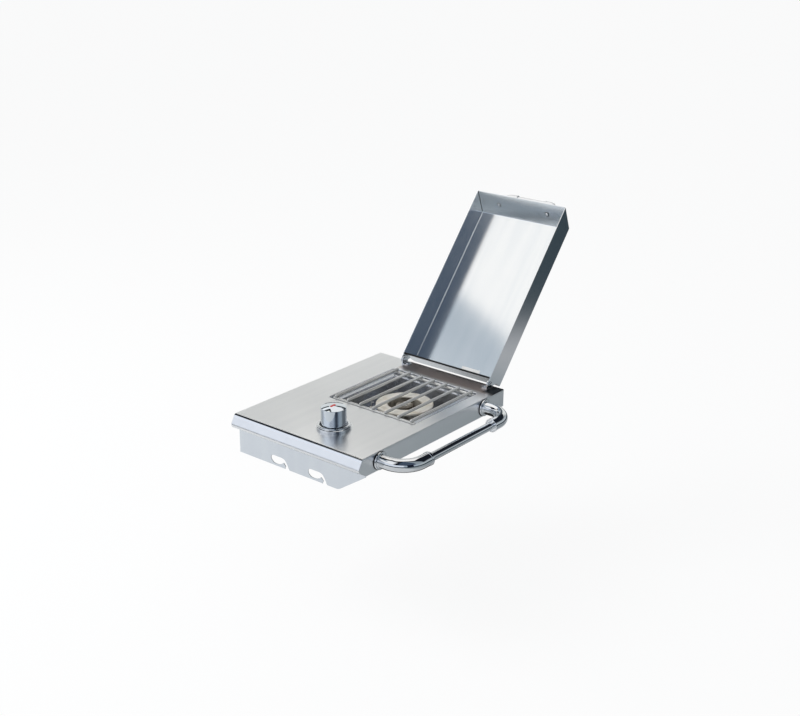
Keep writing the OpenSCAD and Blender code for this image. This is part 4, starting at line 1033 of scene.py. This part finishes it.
def floorPaint():
    # pale floor; the camera sees it as white with a faint shadow; reflections see a painted shadow below the
    # object, and see the floor darker at the right and far away
    made, s = material("paleFloor")
    spot = s.spot()
    x, y, z = s.split(spot)
    reach = s.wire(s.node("ShaderNodeVectorMath", {"operation": "LENGTH"}, {0: spot}), "Value")
    near = s.wire(s.node("ShaderNodeVectorMath", {"operation": "DISTANCE"}, {
        0: spot, 1: (*floorLook.middle, floorLook.height)}), "Value")
    unseen = 1 - s.wire(s.node("ShaderNodeLightPath"), "Is Camera Ray")
    pale, dark, right, farRight, under = (
        linear(floorLook[key]) for key in ("pale", "dark", "right", "farRight", "under"))
    rightSide = s.mix(s.rise(y, *floorLook.farEdge), right, farRight)
    colour = s.mix(s.rise(x + 0.5 * y, *floorLook.rightEdge) * unseen, pale, rightSide)
    # painted shadow: reflections see a dark disc of floor under the object
    colour = s.mix(s.fall(near, *floorLook.underEdge) * unseen, colour, under)
    colour = s.mix(s.rise(reach, *floorLook.darkEdge) * unseen, colour, dark)
    matte = s.node("ShaderNodeBsdfDiffuse", None, {"Color": colour})
    glow = s.glow((1, 1, 1), floorLook.glow)
    s.output(s.node("ShaderNodeMixShader", None, {
        0: (1 - unseen) * floorLook.glowShare, 1: s.wire(matte), 2: s.wire(glow)}))
    return made


h = floorLook.half
floor = quad("floor", [(x, y, floorLook.height) for x, y in ((-h, -h), (h, -h), (h, h), (-h, h))],
             floorPaint())

# The room as mirror-like surfaces see it, by the angles turn (0 left, 90 rear, -90 front) and lift.
# Each soft box has the angles where it begins and is full, is still full and ends, and its light.
degrees = 57.29578
softBoxes = (((-100, -84, -33, -29), (25, 29, 62, 74), (1.05, 1.06, 1.08)),
             ((-54, -50, -33, -29), (39.5, 41, 50, 53), (0.38, 0.45, 0.52)),
             ((39, 43, 60, 68), (32.5, 34, 60, 68), (1.1, 1.1, 1.11)),
             ((5, 10, 44, 50), (31.5, 33, 41, 44), (1.15, 1.15, 1.14)),
             ((8, 12, 33, 37), (50.5, 52.5, 62, 66), (1.40, 1.34, 1.24)))
evenLight = (0.62, 0.63, 0.64, 1)


def studioWorld():
    # the camera sees white, reflections see the room, and everything else is lit evenly
    world = bpy.data.worlds.new("studio")
    bpy.context.scene.world = world
    s = Shader(world)
    x, y, z = s.split(s.spot("Generated"))
    turn = s.sum("ARCTAN2", y, -1 * x) * degrees
    lift = s.sum("ARCSINE", z) * degrees
    # dark at the right, grey behind the camera and paler at the rear right
    colour = s.mix(s.fall(turn, -118, -104) + s.rise(turn, 150, 165),
                   linear((0.10, 0.12, 0.15)), linear((0.28, 0.33, 0.40)))
    colour = s.mix(s.rise(turn, 146, 152), colour, linear((0.58, 0.62, 0.65)))
    for turns, lifts, light in softBoxes:
        inside = (s.rise(turn, *turns[:2]) * s.fall(turn, *turns[2:])
                  * s.rise(lift, *lifts[:2]) * s.fall(lift, *lifts[2:]))
        colour = s.mix(inside, colour, (*light, 1))
    # low walls: pale from the front round the left to the rear, grey at the right and behind the
    # camera, and a dark gap in the last
    pale = s.mix(s.fall(turn, -50, 25), linear((0.93, 0.935, 0.925)), linear((0.925, 0.95, 0.995)))
    for inside, light in (
            (s.rise(turn, -140, -128) * s.fall(turn, 76, 104) * s.fall(lift, 25, 27), pale),
            (s.rise(turn, 76, 104) * s.fall(lift, 12, 27), linear((0.72, 0.75, 0.77))),
            ((s.fall(turn, -140, -128) + s.rise(turn, 165, 176)) * s.fall(lift, 20, 28),
             linear((0.66, 0.71, 0.76))),
            (s.rise(turn, -170, -166) * s.fall(turn, -146, -142) * s.fall(lift, 28, 34),
             linear((0.10, 0.12, 0.18)))):
        colour = s.mix(inside, colour, light)
    path = s.node("ShaderNodeLightPath")
    light = s.mix(s.wire(path, "Is Glossy Ray"), evenLight, colour)
    light = s.mix(s.wire(path, "Is Camera Ray"), light, (1, 1, 1, 1))
    s.output(s.node("ShaderNodeBackground", None, {"Color": light, "Strength": 1.0}), "ShaderNodeOutputWorld")


studioWorld()

# One large soft lamp that lights the object but isn't itself seen
keyLight = Look(spot=(-1.4, -1.0, 2.0), aim=(0.17, 0.1, 0.05), size=1.4, power=38)


def keyLamp():
    data = bpy.data.lights.new("keyLamp", "AREA")
    data.shape, data.size, data.energy = "SQUARE", keyLight.size, keyLight.power
    made = linked("keyLamp", data)
    made.location = keyLight.spot
    way = Vector(keyLight.aim) - Vector(keyLight.spot)
    made.rotation_euler = way.to_track_quat("-Z", "Y").to_euler()
    made.visible_camera, made.visible_glossy = False, False


keyLamp()

# A plain bright card that only mirror-like surfaces see
cardLook = Look(colour=(1.08, 1.055, 1.03),
                corners=[(-0.412, 0.374, 0.410), (0.231, -0.205, 0.540), (0.530, 0.245, 1.061),
                         (-0.113, 0.823, 0.930)])
cardPaint, cardShader = material("frontCardGlow")
cardShader.output(cardShader.glow(cardLook.colour))
card = quad("frontCard", cardLook.corners, cardPaint)
for ray in ("camera", "diffuse", "shadow", "transmission", "volume_scatter"):
    setattr(card, "visible_" + ray, False)

cameraAt = Look(target=(0.05355, 0.2176, 0.01825), distance=2.82277, azimuth=39.21, elevation=20.85,
                roll=0.37, lens=59.66, sensor=36.0, clip=(0.05, 50))


def camera():
    data = bpy.data.cameras.new("camera")
    data.lens, data.sensor_width = cameraAt.lens, cameraAt.sensor
    data.clip_start, data.clip_end = cameraAt.clip
    made = linked("camera", data)
    a, e, r = (math.radians(cameraAt[k]) for k in ("azimuth", "elevation", "roll"))
    back = Vector((math.sin(a) * math.cos(e), -math.cos(a) * math.cos(e), math.sin(e)))
    right = Vector((0, 0, 1)).cross(back).normalized()
    up = back.cross(right)
    right, up = right * math.cos(r) + up * math.sin(r), up * math.cos(r) - right * math.sin(r)
    turned = Matrix((right, up, back)).transposed()
    spot = Vector(cameraAt.target) + back * cameraAt.distance
    made.matrix_world = Matrix.Translation(spot) @ turned.to_4x4()
    bpy.context.scene.camera = made


camera()
bpy.context.scene.view_settings.view_transform = "Standard"
print("stage, light and camera made")
